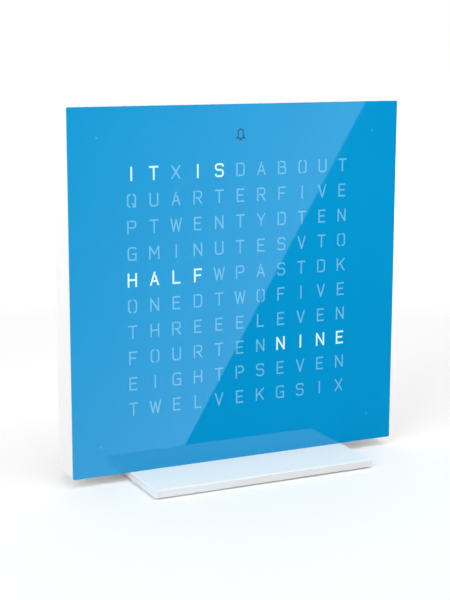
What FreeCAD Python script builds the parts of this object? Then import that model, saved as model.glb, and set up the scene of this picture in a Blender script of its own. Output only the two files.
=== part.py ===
import FreeCAD, Part
import math
import os
import re
import Sketcher

# Word clock on a base plate: a square white case with a blue letter dial on its front.
# X runs to the right as seen from the front, Y to the back and Z up.
# The origin is on the surface that the clock stands on, under the middle of the clock.
# "Depth" is measured backwards from the dial's front plane.

doc = FreeCAD.newDocument("word_clock")
V = FreeCAD.Vector
NEAR = 1e-6

DIAL_ROWS = (
    "ITXISDABOUT",
    "QUARTERFIVE",
    "PTWENTYDTEN",
    "GMINUTESVTO",
    "HALFWPASTDK",
    "ONEDTWOFIVE",
    "THREEELEVEN",
    "FOURTENNINE",
    "EIGHTPSEVEN",
    "TWELVEKGSIX",
)
COLUMNS = len(DIAL_ROWS[0])
ROWS = len(DIAL_ROWS)

# Driving dimensions in millimetres
SIZES = {
    "face_side": 135.0,
    "case_depth": 18.0,
    "corner_radius": 0.6,
    "rim_radius": 0.8,
    "edge_bevel": 0.3,
    "film_thick": 0.3,
    "plate_thick": 2.7,
    "cover_gap": 0.05,
    "grid_gap": 0.3,
    "rear_room": 4.7,
    "board_thick": 1.6,
    "fit_gap": 0.3,
    "hole_fit": 0.05,
    "wall_thick": 2.0,
    "flange_thick": 1.5,
    "flange_width": 19.5,
    "rear_cover_thick": 2.4,
    "rear_cover_inset": 8.0,
    "lip_thick": 1.2,
    "column_margin": 24.0,
    "row_margin": 24.075,
    "letter_height": 5.0,
    "letter_width": 3.5,
    "stroke_width": 0.55,
    "cell_wall": 0.8,
    "dot_inset": 11.0,
    "dot_diameter": 0.9,
    "dot_cell_diameter": 2.4,
    "bell_drop": 11.25,
    "bell_height": 4.3,
    "bell_width": 3.7,
    "bell_line": 0.3,
    "bell_engraving": 0.15,
    "bell_cell_width": 7.0,
    "bell_cell_height": 6.0,
    "magnet_diameter": 5.0,
    "magnet_thick": 1.5,
    "magnet_inset": 5.3,
    "magnet_spread": 40.0,
    "post_wall": 0.8,
    "post_length": 6.0,
    "led_width": 3.5,
    "led_height": 2.8,
    "led_thick": 0.8,
    "small_screw_diameter": 2.5,
    "small_head_diameter": 4.5,
    "small_head_thick": 1.4,
    "screw_bite": 3.0,
    "boss_diameter": 7.0,
    "board_screw_inset": 16.0,
    "board_counterbore": 2.0,
    "rear_counterbore": 1.5,
    "rear_screw_inset": 15.0,
    "rear_screw_up": 34.0,
    "button_inset": 12.0,
    "button_pitch": 13.0,
    "button_diameter": 6.0,
    "button_proud": 0.5,
    "button_travel": 0.6,
    "button_flange_diameter": 8.0,
    "button_flange_thick": 1.0,
    "button_seat_gap": 0.1,
    "button_fit": 0.1,
    "nub_diameter": 2.4,
    "switch_side": 6.0,
    "switch_thick": 2.4,
    "switch_floor": 0.4,
    "plunger_diameter": 3.2,
    "plunger_proud": 0.7,
    "socket_side": 7.0,
    "socket_inset": 6.5,
    "socket_recess": 0.6,
    "socket_bore": 3.6,
    "socket_floor": 1.1,
    "socket_pin_diameter": 1.3,
    "socket_pin_length": 5.0,
    "buzzer_across": 27.0,
    "buzzer_down": 22.0,
    "buzzer_diameter": 12.0,
    "buzzer_thick": 3.2,
    "buzzer_port": 2.0,
    "sound_hole": 1.3,
    "sound_ring": 3.4,
    "cell_diameter": 12.5,
    "cell_thick": 2.0,
    "holder_wall": 1.2,
    "holder_floor": 0.6,
    "holder_across": 27.0,
    "holder_down": 22.0,
    "chip_side": 10.0,
    "chip_thick": 1.4,
    "driver_width": 6.4,
    "driver_height": 5.0,
    "driver_thick": 1.1,
    "driver_pitch": 15.0,
    "driver_up": 13.0,
    "crystal_width": 3.2,
    "crystal_height": 1.5,
    "crystal_thick": 0.8,
    "crystal_drop": 9.0,
    "capacitor_width": 1.25,
    "capacitor_height": 2.0,
    "capacitor_thick": 1.2,
    "capacitor_pitch": 8.0,
    "capacitor_down": 12.0,
    "foil_width": 80.0,
    "foil_depth": 8.0,
    "foil_thick": 0.2,
    "contact_width": 3.0,
    "contact_thick": 0.3,
    "contact_root": 3.0,
    "contact_foot": 2.5,
    "base_width": 90.0,
    "base_reach": 24.0,
    "base_thick": 3.0,
    "base_screw_across": 30.0,
    "base_screw_diameter": 3.0,
    "base_head_diameter": 5.8,
    "insert_diameter": 4.2,
    "insert_length": 5.0,
    "insert_lift": 0.8,
    "insert_boss_wall": 1.5,
    "insert_boss_height": 6.0,
    "pad_diameter": 8.0,
    "pad_thick": 1.0,
    "pad_recess": 0.4,
    "pad_inset": 8.0,
}

sheet = doc.addObject("Spreadsheet::Sheet", "dims")
for number, (alias, size) in enumerate(SIZES.items(), start=1):
    sheet.set("A%d" % number, str(size))
    sheet.setAlias("A%d" % number, alias)


def derived(alias, formula):
    """Add a cell that is worked out from the driving dimensions."""
    row = derived.next_row
    derived.next_row += 1
    sheet.set("C%d" % row, "=" + formula)
    sheet.setAlias("C%d" % row, alias)


derived.next_row = 1
derived("half_side", "face_side / 2")
derived("column_pitch", "(face_side - 2 * column_margin) / %d" % (COLUMNS - 1))
derived("row_pitch", "(face_side - 2 * row_margin) / %d" % (ROWS - 1))
derived("plate_back", "film_thick + plate_thick")
derived("case_front", "plate_back + cover_gap")
derived("grid_front", "plate_back + grid_gap")
derived("case_back", "case_depth - rear_cover_thick")
derived("board_back", "case_back - rear_room")
derived("board_front", "board_back - board_thick")
derived("grid_depth", "board_front - grid_front")
derived("flange_front", "case_back - flange_thick")
derived("opening_half", "half_side - wall_thick - flange_width")
derived("post_reach", "magnet_inset + magnet_diameter / 2 + post_wall")
derived("grid_half", "half_side - post_reach - fit_gap")
derived("rear_half", "half_side - rear_cover_inset")
derived("board_screw_place", "half_side - board_screw_inset")
derived("rear_screw_place", "half_side - rear_screw_inset")
derived("magnet_place", "half_side - magnet_inset")
derived("dot_place", "half_side - dot_inset")
derived("bell_up", "half_side - bell_drop")
derived("button_up", "opening_half - button_inset")
derived("socket_down", "opening_half - socket_inset - socket_side / 2")
derived("socket_bottom", "board_back + socket_floor")
derived("base_lift", "pad_thick - pad_recess")
derived("base_top", "base_lift + base_thick")
derived("case_centre", "base_top + half_side")
derived("base_depth", "case_depth + 2 * base_reach")
derived("button_flange_back", "case_back - button_seat_gap")
derived("plunger_top", "board_back + switch_thick + plunger_proud")
derived("plunger_bottom", "board_back + switch_floor + button_travel + button_seat_gap")
doc.recompute()


def value(formula):
    """Evaluate a formula of the sheet's cells as a plain number."""
    return float(sheet.evalExpression(formula))


def cells(formula):
    """Write a formula of cell names as other objects have to write it."""
    return re.sub(r"[a-z]\w*", r"dims.\g<0>", formula)


def bind(target, prop, formula):
    target.setExpression(prop, cells(formula))


def place(target, x="0", depth="0", up="0"):
    """Put an object at a place that is counted from the middle of the dial's front plane."""
    bind(target, "Placement.Base.x", x)
    bind(target, "Placement.Base.y", "(%s) - case_depth / 2" % depth)
    bind(target, "Placement.Base.z", "(%s) + case_centre" % up)


class Piece:
    """A body whose sketches lie in its own front plane, at a depth, or in its ground plane."""

    def __init__(self, label, x="0", depth="0", up="0"):
        self.body = doc.addObject("PartDesign::Body", label)
        self.body.Label = label
        place(self.body, x, depth, up)
        self.label = label
        self.roles = {}

    def sketch(self, level="0", role="XZ_Plane"):
        plane = [item for item in self.body.Origin.OriginFeatures if item.Role == role][0]
        name = "%s_sketch%d" % (self.label, len(self.roles) + 1)
        sketch = self.body.newObject("Sketcher::SketchObject", name)
        self.roles[sketch.Name] = role
        sketch.AttachmentSupport = [(plane, "")]
        sketch.MapMode = "FlatFace"
        sign = "-" if role == "XZ_Plane" else ""
        bind(sketch, "AttachmentOffset.Base.z", "%s(%s)" % (sign, level))
        return sketch

    def pad(self, sketch, length):
        """Thicken a sketch towards the back, or upwards for a sketch in the ground plane."""
        pad = self.body.newObject("PartDesign::Pad", sketch.Name + "_pad")
        pad.Profile = sketch
        bind(pad, "Length", length)
        pad.Reversed = self.roles[sketch.Name] == "XZ_Plane"
        return pad

    def pocket(self, sketch, depth, onward=True):
        """Cut a sketch into the body, onward (to the back or upwards) or the other way."""
        before = self.solid_volume()
        pocket = self.body.newObject("PartDesign::Pocket", sketch.Name + "_pocket")
        pocket.Profile = sketch
        bind(pocket, "Length", depth)
        pocket.Reversed = onward == (self.roles[sketch.Name] == "XY_Plane")
        if self.solid_volume() > before - 1e-6:
            raise RuntimeError("A pocket cuts nothing in " + self.label)
        return pocket

    def solid_volume(self):
        doc.recompute()
        return self.body.Shape.Volume


def constrain(sketch, kind, *items, formula=None):
    """Add one constraint and tie its value to the sheet when a formula is given."""
    if formula is None:
        sketch.addConstraint(Sketcher.Constraint(kind, *items))
        return
    number = sketch.addConstraint(Sketcher.Constraint(kind, *items, value(formula)))
    sketch.setExpression("Constraints[%d]" % number, cells(formula))


def rectangle(sketch, x, y, width, height):
    """Draw a rectangle by the formulas of its middle and its sides."""
    left, low = "(%s) - (%s) / 2" % (x, width), "(%s) - (%s) / 2" % (y, height)
    x0, y0, w, h = value(left), value(low), value(width), value(height)
    first = sketch.GeometryCount
    corners = [V(x0, y0, 0), V(x0 + w, y0, 0), V(x0 + w, y0 + h, 0), V(x0, y0 + h, 0)]
    for side in range(4):
        sketch.addGeometry(Part.LineSegment(corners[side], corners[(side + 1) % 4]), False)
    for side in range(4):
        constrain(sketch, "Coincident", first + side, 2, first + (side + 1) % 4, 1)
        constrain(sketch, "Horizontal" if side % 2 == 0 else "Vertical", first + side)
    constrain(sketch, "DistanceX", -1, 1, first, 1, formula=left)
    constrain(sketch, "DistanceY", -1, 1, first, 1, formula=low)
    constrain(sketch, "DistanceX", first, 1, first, 2, formula=width)
    constrain(sketch, "DistanceY", first + 1, 1, first + 1, 2, formula=height)


def circle(sketch, x, y, diameter):
    """Draw a circle by the formulas of its middle and its diameter."""
    middle = V(value(x), value(y), 0)
    number = sketch.addGeometry(Part.Circle(middle, V(0, 0, 1), value(diameter) / 2), False)
    constrain(sketch, "DistanceX", -1, 1, number, 3, formula=x)
    constrain(sketch, "DistanceY", -1, 1, number, 3, formula=y)
    constrain(sketch, "Diameter", number, formula=diameter)


def mirrored_places(across, up):
    """Give the formulas of the four places that a pattern has left, right, low and high."""
    return [(x_sign + across, y_sign + up) for x_sign in ("", "-") for y_sign in ("", "-")]


def dress(piece, kind, suffix, formula, wanted):
    """Round or bevel the edges of a piece's newest feature that a test on their boxes picks."""
    doc.recompute()
    feature = piece.body.Tip
    names = ["Edge%d" % number for number, edge in enumerate(feature.Shape.Edges, start=1)
             if wanted(edge.BoundBox)]
    dressed = piece.body.newObject("PartDesign::" + kind, piece.label + suffix)
    dressed.Base = (feature, names)
    bind(dressed, "Radius" if kind == "Fillet" else "Size", formula)
    doc.recompute()
    return dressed


def round_corners(piece, half_formula="half_side"):
    """Round the four edges that run front to back at the corners of a square piece."""
    half = value(half_formula)

    def at_corner(extent):
        thin = extent.XLength < NEAR and extent.ZLength < NEAR
        return thin and abs(abs(extent.XMin) - half) < NEAR and abs(abs(extent.ZMin) - half) < NEAR

    dress(piece, "Fillet", "_corners", "corner_radius", at_corner)


def round_rim(piece, depth_formula, half_formula, radius):
    """Round the outer edge of a square piece all the way round at one depth."""
    depth, half = value(depth_formula), value(half_formula)

    def on_rim(extent):
        if extent.YLength > NEAR or abs(extent.YMin - depth) > NEAR:
            return False
        reach = max(abs(extent.XMin), abs(extent.XMax), abs(extent.ZMin), abs(extent.ZMax))
        middle = max(abs(extent.XMin + extent.XMax), abs(extent.ZMin + extent.ZMax)) / 2
        return abs(reach - half) < NEAR and middle > half * 0.9

    dress(piece, "Fillet", "_rim", radius, on_rim)


def box(label, width, thick, height, x, depth, up):
    """A plain block by the formulas of its sizes, its middle across and up, and its front depth."""
    block = doc.addObject("Part::Box", label)
    block.Label = label
    bind(block, "Length", width)
    bind(block, "Width", thick)
    bind(block, "Height", height)
    place(block, "(%s) - (%s) / 2" % (x, width), depth, "(%s) - (%s) / 2" % (up, height))
    return block


def disc(label, diameter, thick, x, depth, up):
    """A plain disc whose axis runs front to back, from its front depth backwards."""
    cylinder = doc.addObject("Part::Cylinder", label)
    cylinder.Label = label
    bind(cylinder, "Radius", "(%s) / 2" % diameter)
    bind(cylinder, "Height", thick)
    cylinder.Placement = FreeCAD.Placement(V(), FreeCAD.Rotation(V(1, 0, 0), -90))
    place(cylinder, x, depth, up)
    return cylinder


def cut(label, base, tools):
    """Take tools out of a base and name what is left."""
    tool = tools[0]
    if len(tools) > 1:
        tool = doc.addObject("Part::MultiFuse", label + "_tools")
        tool.Shapes = tools
    result = doc.addObject("Part::Cut", label)
    result.Label = label
    result.Base = base
    result.Tool = tool
    return result


def group(label, members):
    """Hold separate like solids together in one sub-part."""
    compound = doc.addObject("Part::Compound", label)
    compound.Label = label
    compound.Links = members
    return compound


# Dial letters

ROUND = "round"
# Each letter is a list of strokes in a unit square. A stroke is a chain of points, whose corners
# are sharp unless they are marked round. Closed letters keep a bridge, so that nothing falls out.
LETTER_STROKES = {
    "A": [[(0, 0), (0.5, 1)], [(0.62, 0.72), (1, 0)], [(0.22, 0.3), (0.72, 0.3)]],
    "B": [
        [(0, 0), (0, 1)],
        [(0.3, 1), (0.92, 1, ROUND), (0.92, 0.54, ROUND), (0.3, 0.54)],
        [(0.66, 0.54), (1, 0.54, ROUND), (1, 0, ROUND), (0.3, 0)],
    ],
    "D": [[(0, 0), (0, 1)], [(0.3, 1), (1, 1, ROUND), (1, 0, ROUND), (0.3, 0)]],
    "E": [[(1, 1), (0, 1), (0, 0), (1, 0)], [(0, 0.52), (0.86, 0.52)]],
    "F": [[(1, 1), (0, 1), (0, 0)], [(0, 0.5), (0.86, 0.5)]],
    "G": [[(1, 0.92), (0.96, 1, ROUND), (0, 1, ROUND), (0, 0, ROUND), (1, 0), (1, 0.48), (0.6, 0.48)]],
    "H": [[(0, 0), (0, 1)], [(1, 0), (1, 1)], [(0, 0.52), (1, 0.52)]],
    "I": [[(0.5, 0), (0.5, 1)]],
    "K": [[(0, 0), (0, 1)], [(1, 1), (0.08, 0.4)], [(0.38, 0.6), (1, 0)]],
    "L": [[(0, 1), (0, 0), (1, 0)]],
    "M": [[(0, 0), (0, 1)], [(1, 0), (1, 1)], [(0, 1), (0.5, 0.38)], [(0.5, 0.38), (1, 1)]],
    "N": [[(0, 0), (0, 1)], [(1, 0), (1, 1)], [(0, 1), (1, 0)]],
    "O": [
        [(0.3, 1), (0, 1, ROUND), (0, 0, ROUND), (0.3, 0)],
        [(0.7, 0), (1, 0, ROUND), (1, 1, ROUND), (0.7, 1)],
    ],
    "P": [[(0, 0), (0, 1)], [(0.3, 1), (1, 1, ROUND), (1, 0.46, ROUND), (0.3, 0.46)]],
    "Q": [
        [(0.3, 1), (0, 1, ROUND), (0, 0, ROUND), (0.3, 0)],
        [(0.7, 0), (1, 0, ROUND), (1, 1, ROUND), (0.7, 1)],
        [(0.62, 0.26), (1, 0)],
    ],
    "R": [
        [(0, 0), (0, 1)],
        [(0.3, 1), (1, 1, ROUND), (1, 0.46, ROUND), (0.3, 0.46)],
        [(0.5, 0.46), (1, 0)],
    ],
    "S": [
        [(0.98, 0.86), (0.94, 1, ROUND), (0, 1, ROUND), (0, 0.53, ROUND), (0.5, 0.53)],
        [(0.5, 0.53), (1, 0.53, ROUND), (1, 0, ROUND), (0.06, 0, ROUND), (0.02, 0.14)],
    ],
    "T": [[(0, 1), (1, 1)], [(0.5, 1), (0.5, 0)]],
    "U": [[(0, 1), (0, 0, ROUND), (1, 0, ROUND), (1, 1)]],
    "V": [[(0, 1), (0.5, 0)], [(0.5, 0), (1, 1)]],
    "W": [[(0, 1), (0.25, 0)], [(0.25, 0), (0.5, 0.9)], [(0.5, 0.9), (0.75, 0)], [(0.75, 0), (1, 1)]],
    "X": [[(0, 0), (1, 1)], [(0, 1), (1, 0)]],
    "Y": [[(0, 1), (0.5, 0.45)], [(0.5, 0.45), (1, 1)], [(0.5, 0.45), (0.5, 0)]],
}
WIDTH_SHARES = {"E": 0.88, "F": 0.88, "L": 0.86, "M": 1.16, "W": 1.3}
ROUND_SHARE = 0.34


def stroke_bar(start, end, width, before, after):
    """A flat bar along a run, made longer at each end."""
    along = (end - start).normalize()
    side = V(-along.z, 0, along.x) * (width / 2)
    first, last = start - along * before, end + along * after
    corners = [first + side, last + side, last - side, first - side]
    return Part.Face(Part.makePolygon(corners + corners[:1]))


def stroke_bend(centre, radius, start, end, width):
    """A flat ring piece that turns from one run into the next."""
    middle = ((start - centre) + (end - centre)).normalize()
    first, last = (start - centre).normalize(), (end - centre).normalize()
    outer, inner = radius + width / 2, radius - width / 2
    edges = [
        Part.Arc(centre + first * outer, centre + middle * outer, centre + last * outer).toShape(),
        Part.LineSegment(centre + last * outer, centre + last * inner).toShape(),
        Part.Arc(centre + last * inner, centre + middle * inner, centre + first * inner).toShape(),
        Part.LineSegment(centre + first * inner, centre + first * outer).toShape(),
    ]
    return Part.Face(Part.Wire(edges))


def stroke_faces(points, rounds, width, radius, limits):
    """Turn one stroke into flat faces: bars for its runs and ring pieces for its round corners."""
    faces = []
    start = points[0]
    start_is_free = True
    for number in range(1, len(points)):
        corner = points[number]
        last = number == len(points) - 1
        stop = corner
        bend = None
        if not last and rounds[number]:
            inward = (start - corner).normalize()
            onward = (points[number + 1] - corner).normalize()
            half_turn = (math.pi - inward.getAngle(onward)) / 2
            trim = min(radius * math.tan(half_turn), (start - corner).Length * 0.95)
            bend_radius = trim / math.tan(half_turn)
            stop = corner + inward * trim
            leave = corner + onward * trim
            to_centre = (inward + onward).normalize()
            centre = corner + to_centre * (bend_radius / math.cos(half_turn))
            bend = (centre, bend_radius, stop, leave)
        slanted = abs(corner.x - start.x) > 1e-6 and abs(corner.z - start.z) > 1e-6
        at_edge = width if slanted else width / 2
        before = 0 if not start_is_free else (at_edge if start.z in limits else width / 2)
        after = 0 if bend else (at_edge if stop.z in limits else width / 2)
        if (stop - start).Length > 1e-3:
            faces.append(stroke_bar(start, stop, width, before, after))
        if bend:
            faces.append(stroke_bend(*bend, width))
            start = bend[3]
            start_is_free = False
        else:
            start = corner
            start_is_free = True
    return faces


def letter_shape(letter, thick):
    """The through-slots of one letter, with its middle at the origin, thickened along Y."""
    stroke = value("stroke_width")
    tall = value("letter_height")
    wide = value("letter_width") * WIDTH_SHARES.get(letter, 1)
    span_x, span_z = wide - stroke, tall - stroke
    radius = span_x * ROUND_SHARE
    limits = (-span_z / 2, span_z / 2)
    faces = []
    for chain in LETTER_STROKES[letter]:
        points = [V((item[0] - 0.5) * span_x, 0, (item[1] - 0.5) * span_z) for item in chain]
        rounds = [len(item) > 2 for item in chain]
        faces += stroke_faces(points, rounds, stroke, radius, limits)
    solids = [face.extrude(V(0, thick, 0)) for face in faces]
    shape = solids[0] if len(solids) == 1 else solids[0].fuse(solids[1:]).removeSplitter()
    frame = Part.makeBox(wide, 3 * thick, tall, V(-wide / 2, -thick, -tall / 2))
    return shape.common(frame)


def letter_places():
    """Give each letter of the dial with the middle of its cell, from the top row down."""
    across, up = value("column_pitch"), value("row_pitch")
    for row, words in enumerate(DIAL_ROWS):
        for column, letter in enumerate(words):
            x = (column - (COLUMNS - 1) / 2) * across
            z = ((ROWS - 1) / 2 - row) * up
            yield letter, x, z


def bell_shape(thick):
    """A bell drawn as a line: a dome on flared sides, a rim below and a clapper under it."""
    line = value("bell_line")
    wide = value("bell_width") - line
    tall = value("bell_height") - line
    dome_radius = wide * 0.3
    rim_z = -tall * 0.32
    shoulder_z = tall / 2 - dome_radius
    waist_z = rim_z + tall * 0.16
    left = [V(-wide / 2, 0, rim_z), V(-dome_radius, 0, waist_z), V(-dome_radius, 0, shoulder_z)]
    right = [V(-point.x, 0, point.z) for point in left]
    faces = [stroke_bar(left[0], right[0], line, line / 2, line / 2)]
    for side in (left, right):
        faces.append(stroke_bar(side[0], side[1], line, line / 2, line / 2))
        faces.append(stroke_bar(side[1], side[2], line, line / 2, 0))
    centre = V(0, 0, shoulder_z)
    top = V(0, 0, shoulder_z + dome_radius)
    for side in (left, right):
        faces.append(stroke_bend(centre, dome_radius, side[2], top, line))
    clapper = V(0, 0, rim_z - tall * 0.14)
    reach = V(wide * 0.14, 0, 0)
    faces.append(stroke_bar(clapper - reach, clapper + reach, line, line / 2, line / 2))
    solids = [face.extrude(V(0, thick, 0)) for face in faces]
    return solids[0].fuse(solids[1:]).removeSplitter()


def dial_cutters():
    """Everything that is cut into the film: letters and dots right through, and the shallow bell."""
    film = value("film_thick")
    through = 3 * film
    patterns = {letter: letter_shape(letter, through) for letter in sorted(set("".join(DIAL_ROWS)))}
    cutters = []
    for letter, x, z in letter_places():
        cutters.append(patterns[letter].translated(V(x, -film, z)))
    dot = value("dot_place")
    for x in (-dot, dot):
        for z in (-dot, dot):
            hole = Part.makeCylinder(value("dot_diameter") / 2, through, V(x, -film, z), V(0, 1, 0))
            cutters.append(hole)
    engraving = value("bell_engraving")
    cutters.append(bell_shape(film + engraving).translated(V(0, -film, value("bell_up"))))
    return Part.makeCompound(cutters)


film_blank = Piece("face_film_blank")
film_sketch = film_blank.sketch()
rectangle(film_sketch, "0", "0", "face_side", "face_side")
film_blank.pad(film_sketch, "film_thick")
round_corners(film_blank)
letters = doc.addObject("Part::Feature", "dial_cutters")
letters.Shape = dial_cutters()
place(letters)
face_film = cut("face_film", film_blank.body, [letters])

# Front plate that carries the film and glows where the lamps behind it are lit

face_plate = Piece("face_plate", depth="film_thick")
plate_sketch = face_plate.sketch()
rectangle(plate_sketch, "0", "0", "face_side", "face_side")
face_plate.pad(plate_sketch, "plate_thick")
round_corners(face_plate)
pocket_sketch = face_plate.sketch("plate_thick")
for x, up in mirrored_places("magnet_place", "magnet_spread"):
    circle(pocket_sketch, x, up, "magnet_diameter + 2 * hole_fit")
face_plate.pocket(pocket_sketch, "magnet_thick", onward=False)

cover_magnets = group("cover_magnets", [
    disc("cover_magnet%d" % number, "magnet_diameter", "magnet_thick", x, "plate_back - magnet_thick", up)
    for number, (x, up) in enumerate(mirrored_places("magnet_place", "magnet_spread"), start=1)
])

# Case: four walls, a rear flange, and bosses and posts that stand on them

case = Piece("case")
wall_sketch = case.sketch("case_front")
rectangle(wall_sketch, "0", "0", "face_side", "face_side")
case.pad(wall_sketch, "case_back - case_front")
round_corners(case)
round_rim(case, "case_back", "half_side", "rim_radius")
hollow_sketch = case.sketch("case_front")
rectangle(hollow_sketch, "0", "0", "face_side - 2 * wall_thick", "face_side - 2 * wall_thick")
case.pocket(hollow_sketch, "flange_front - case_front")
opening_sketch = case.sketch("flange_front")
rectangle(opening_sketch, "0", "0", "2 * opening_half", "2 * opening_half")
case.pocket(opening_sketch, "flange_thick")

post_sketch = case.sketch("case_front")
POST_WIDTH = "post_reach - wall_thick / 2"
for x, up in mirrored_places("magnet_place", "magnet_spread"):
    sign = "-" if x.startswith("-") else ""
    middle = "%s(half_side - wall_thick / 2 - (%s) / 2)" % (sign, POST_WIDTH)
    rectangle(post_sketch, middle, up, POST_WIDTH, "magnet_diameter + 2 * post_wall")
case.pad(post_sketch, "post_length")
post_pocket_sketch = case.sketch("case_front")
for x, up in mirrored_places("magnet_place", "magnet_spread"):
    circle(post_pocket_sketch, x, up, "magnet_diameter + 2 * hole_fit")
case.pocket(post_pocket_sketch, "magnet_thick")

board_boss_sketch = case.sketch("board_back")
for x, up in mirrored_places("board_screw_place", "board_screw_place"):
    circle(board_boss_sketch, x, up, "boss_diameter")
case.pad(board_boss_sketch, "case_back - board_back")
board_hole_sketch = case.sketch("board_back")
for x, up in mirrored_places("board_screw_place", "board_screw_place"):
    circle(board_hole_sketch, x, up, "small_screw_diameter + 2 * hole_fit")
case.pocket(board_hole_sketch, "screw_bite + fit_gap")

rear_boss_sketch = case.sketch("board_back + fit_gap")
for x, up in mirrored_places("rear_screw_place", "rear_screw_up"):
    circle(rear_boss_sketch, x, up, "boss_diameter")
case.pad(rear_boss_sketch, "case_back - board_back - fit_gap")
rear_hole_sketch = case.sketch("case_back")
for x, up in mirrored_places("rear_screw_place", "rear_screw_up"):
    circle(rear_hole_sketch, x, up, "small_screw_diameter + 2 * hole_fit")
case.pocket(rear_hole_sketch, "screw_bite + fit_gap", onward=False)

INSERT_BOSS = "insert_diameter + 2 * insert_boss_wall"
insert_boss_sketch = case.sketch("- half_side", role="XY_Plane")
for x in ("base_screw_across", "-base_screw_across"):
    circle(insert_boss_sketch, x, "case_depth / 2", INSERT_BOSS)
case.pad(insert_boss_sketch, "insert_boss_height + wall_thick")
insert_hole_sketch = case.sketch("- half_side", role="XY_Plane")
for x in ("base_screw_across", "-base_screw_across"):
    circle(insert_hole_sketch, x, "case_depth / 2", "insert_diameter")
case.pocket(insert_hole_sketch, "insert_lift + insert_length + fit_gap")

case_magnets = group("case_magnets", [
    disc("case_magnet%d" % number, "magnet_diameter", "magnet_thick", x, "case_front", up)
    for number, (x, up) in enumerate(mirrored_places("magnet_place", "magnet_spread"), start=1)
])

# Light grid: one open cell for each letter, dot and bell keeps their light apart

light_grid = Piece("light_grid")
grid_sketch = light_grid.sketch("grid_front")
rectangle(grid_sketch, "0", "0", "2 * grid_half", "2 * grid_half")
light_grid.pad(grid_sketch, "grid_depth")
cell_sketch = light_grid.sketch("grid_front")
first_column = "-column_pitch * %g" % ((COLUMNS - 1) / 2)
first_row = "-row_pitch * %g" % ((ROWS - 1) / 2)
rectangle(cell_sketch, first_column, first_row, "column_pitch - cell_wall", "row_pitch - cell_wall")
first_cell = light_grid.pocket(cell_sketch, "grid_depth")
cells_pattern = light_grid.body.newObject("PartDesign::MultiTransform", "light_grid_cells")
cells_pattern.Originals = [first_cell]
pattern_steps = []
for name, role, pitch, count in (
    ("across", "X_Axis", "column_pitch", COLUMNS),
    ("up", "Z_Axis", "row_pitch", ROWS),
):
    step = light_grid.body.newObject("PartDesign::LinearPattern", "light_grid_" + name)
    step.Direction = ([item for item in light_grid.body.Origin.OriginFeatures if item.Role == role][0], [""])
    bind(step, "Length", "%s * %d" % (pitch, count - 1))
    step.Occurrences = count
    pattern_steps.append(step)
cells_pattern.Transformations = pattern_steps
light_grid.body.Tip = cells_pattern
small_cell_sketch = light_grid.sketch("grid_front")
rectangle(small_cell_sketch, "0", "bell_up", "bell_cell_width", "bell_cell_height")
for x, up in mirrored_places("dot_place", "dot_place"):
    circle(small_cell_sketch, x, up, "dot_cell_diameter")
for x, up in mirrored_places("board_screw_place", "board_screw_place"):
    circle(small_cell_sketch, x, up, "small_screw_diameter + 2 * hole_fit")
light_grid.pocket(small_cell_sketch, "grid_depth")
head_sketch = light_grid.sketch("grid_front")
for x, up in mirrored_places("board_screw_place", "board_screw_place"):
    circle(head_sketch, x, up, "small_head_diameter + 2 * fit_gap")
light_grid.pocket(head_sketch, "board_counterbore")

# Lamp board and what is soldered to it

lamp_board = Piece("lamp_board")
board_sketch = lamp_board.sketch("board_front")
rectangle(board_sketch, "0", "0", "2 * grid_half", "2 * grid_half")
lamp_board.pad(board_sketch, "board_thick")
board_screw_sketch = lamp_board.sketch("board_front")
for x, up in mirrored_places("board_screw_place", "board_screw_place"):
    circle(board_screw_sketch, x, up, "small_screw_diameter + 2 * hole_fit")
lamp_board.pocket(board_screw_sketch, "board_thick")


def lamp_shapes():
    """One small lamp on the board behind each letter and the bell, and half-size ones for the dots."""
    wide, tall, thick = value("led_width"), value("led_height"), value("led_thick")
    front = value("board_front") - thick
    places = [(x, z, 1.0) for _, x, z in letter_places()] + [(0, value("bell_up"), 1.0)]
    dot = value("dot_place")
    dot_share = value("dot_cell_diameter") / wide * 0.6
    places += [(x, z, dot_share) for x in (-dot, dot) for z in (-dot, dot)]
    lamps = []
    for x, z, share in places:
        corner = V(x - wide * share / 2, front, z - tall * share / 2)
        lamps.append(Part.makeBox(wide * share, thick, tall * share, corner))
    return Part.makeCompound(lamps)


lamps = doc.addObject("Part::Feature", "lamps")
lamps.Label = "lamps"
lamps.Shape = lamp_shapes()
place(lamps)


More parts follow.
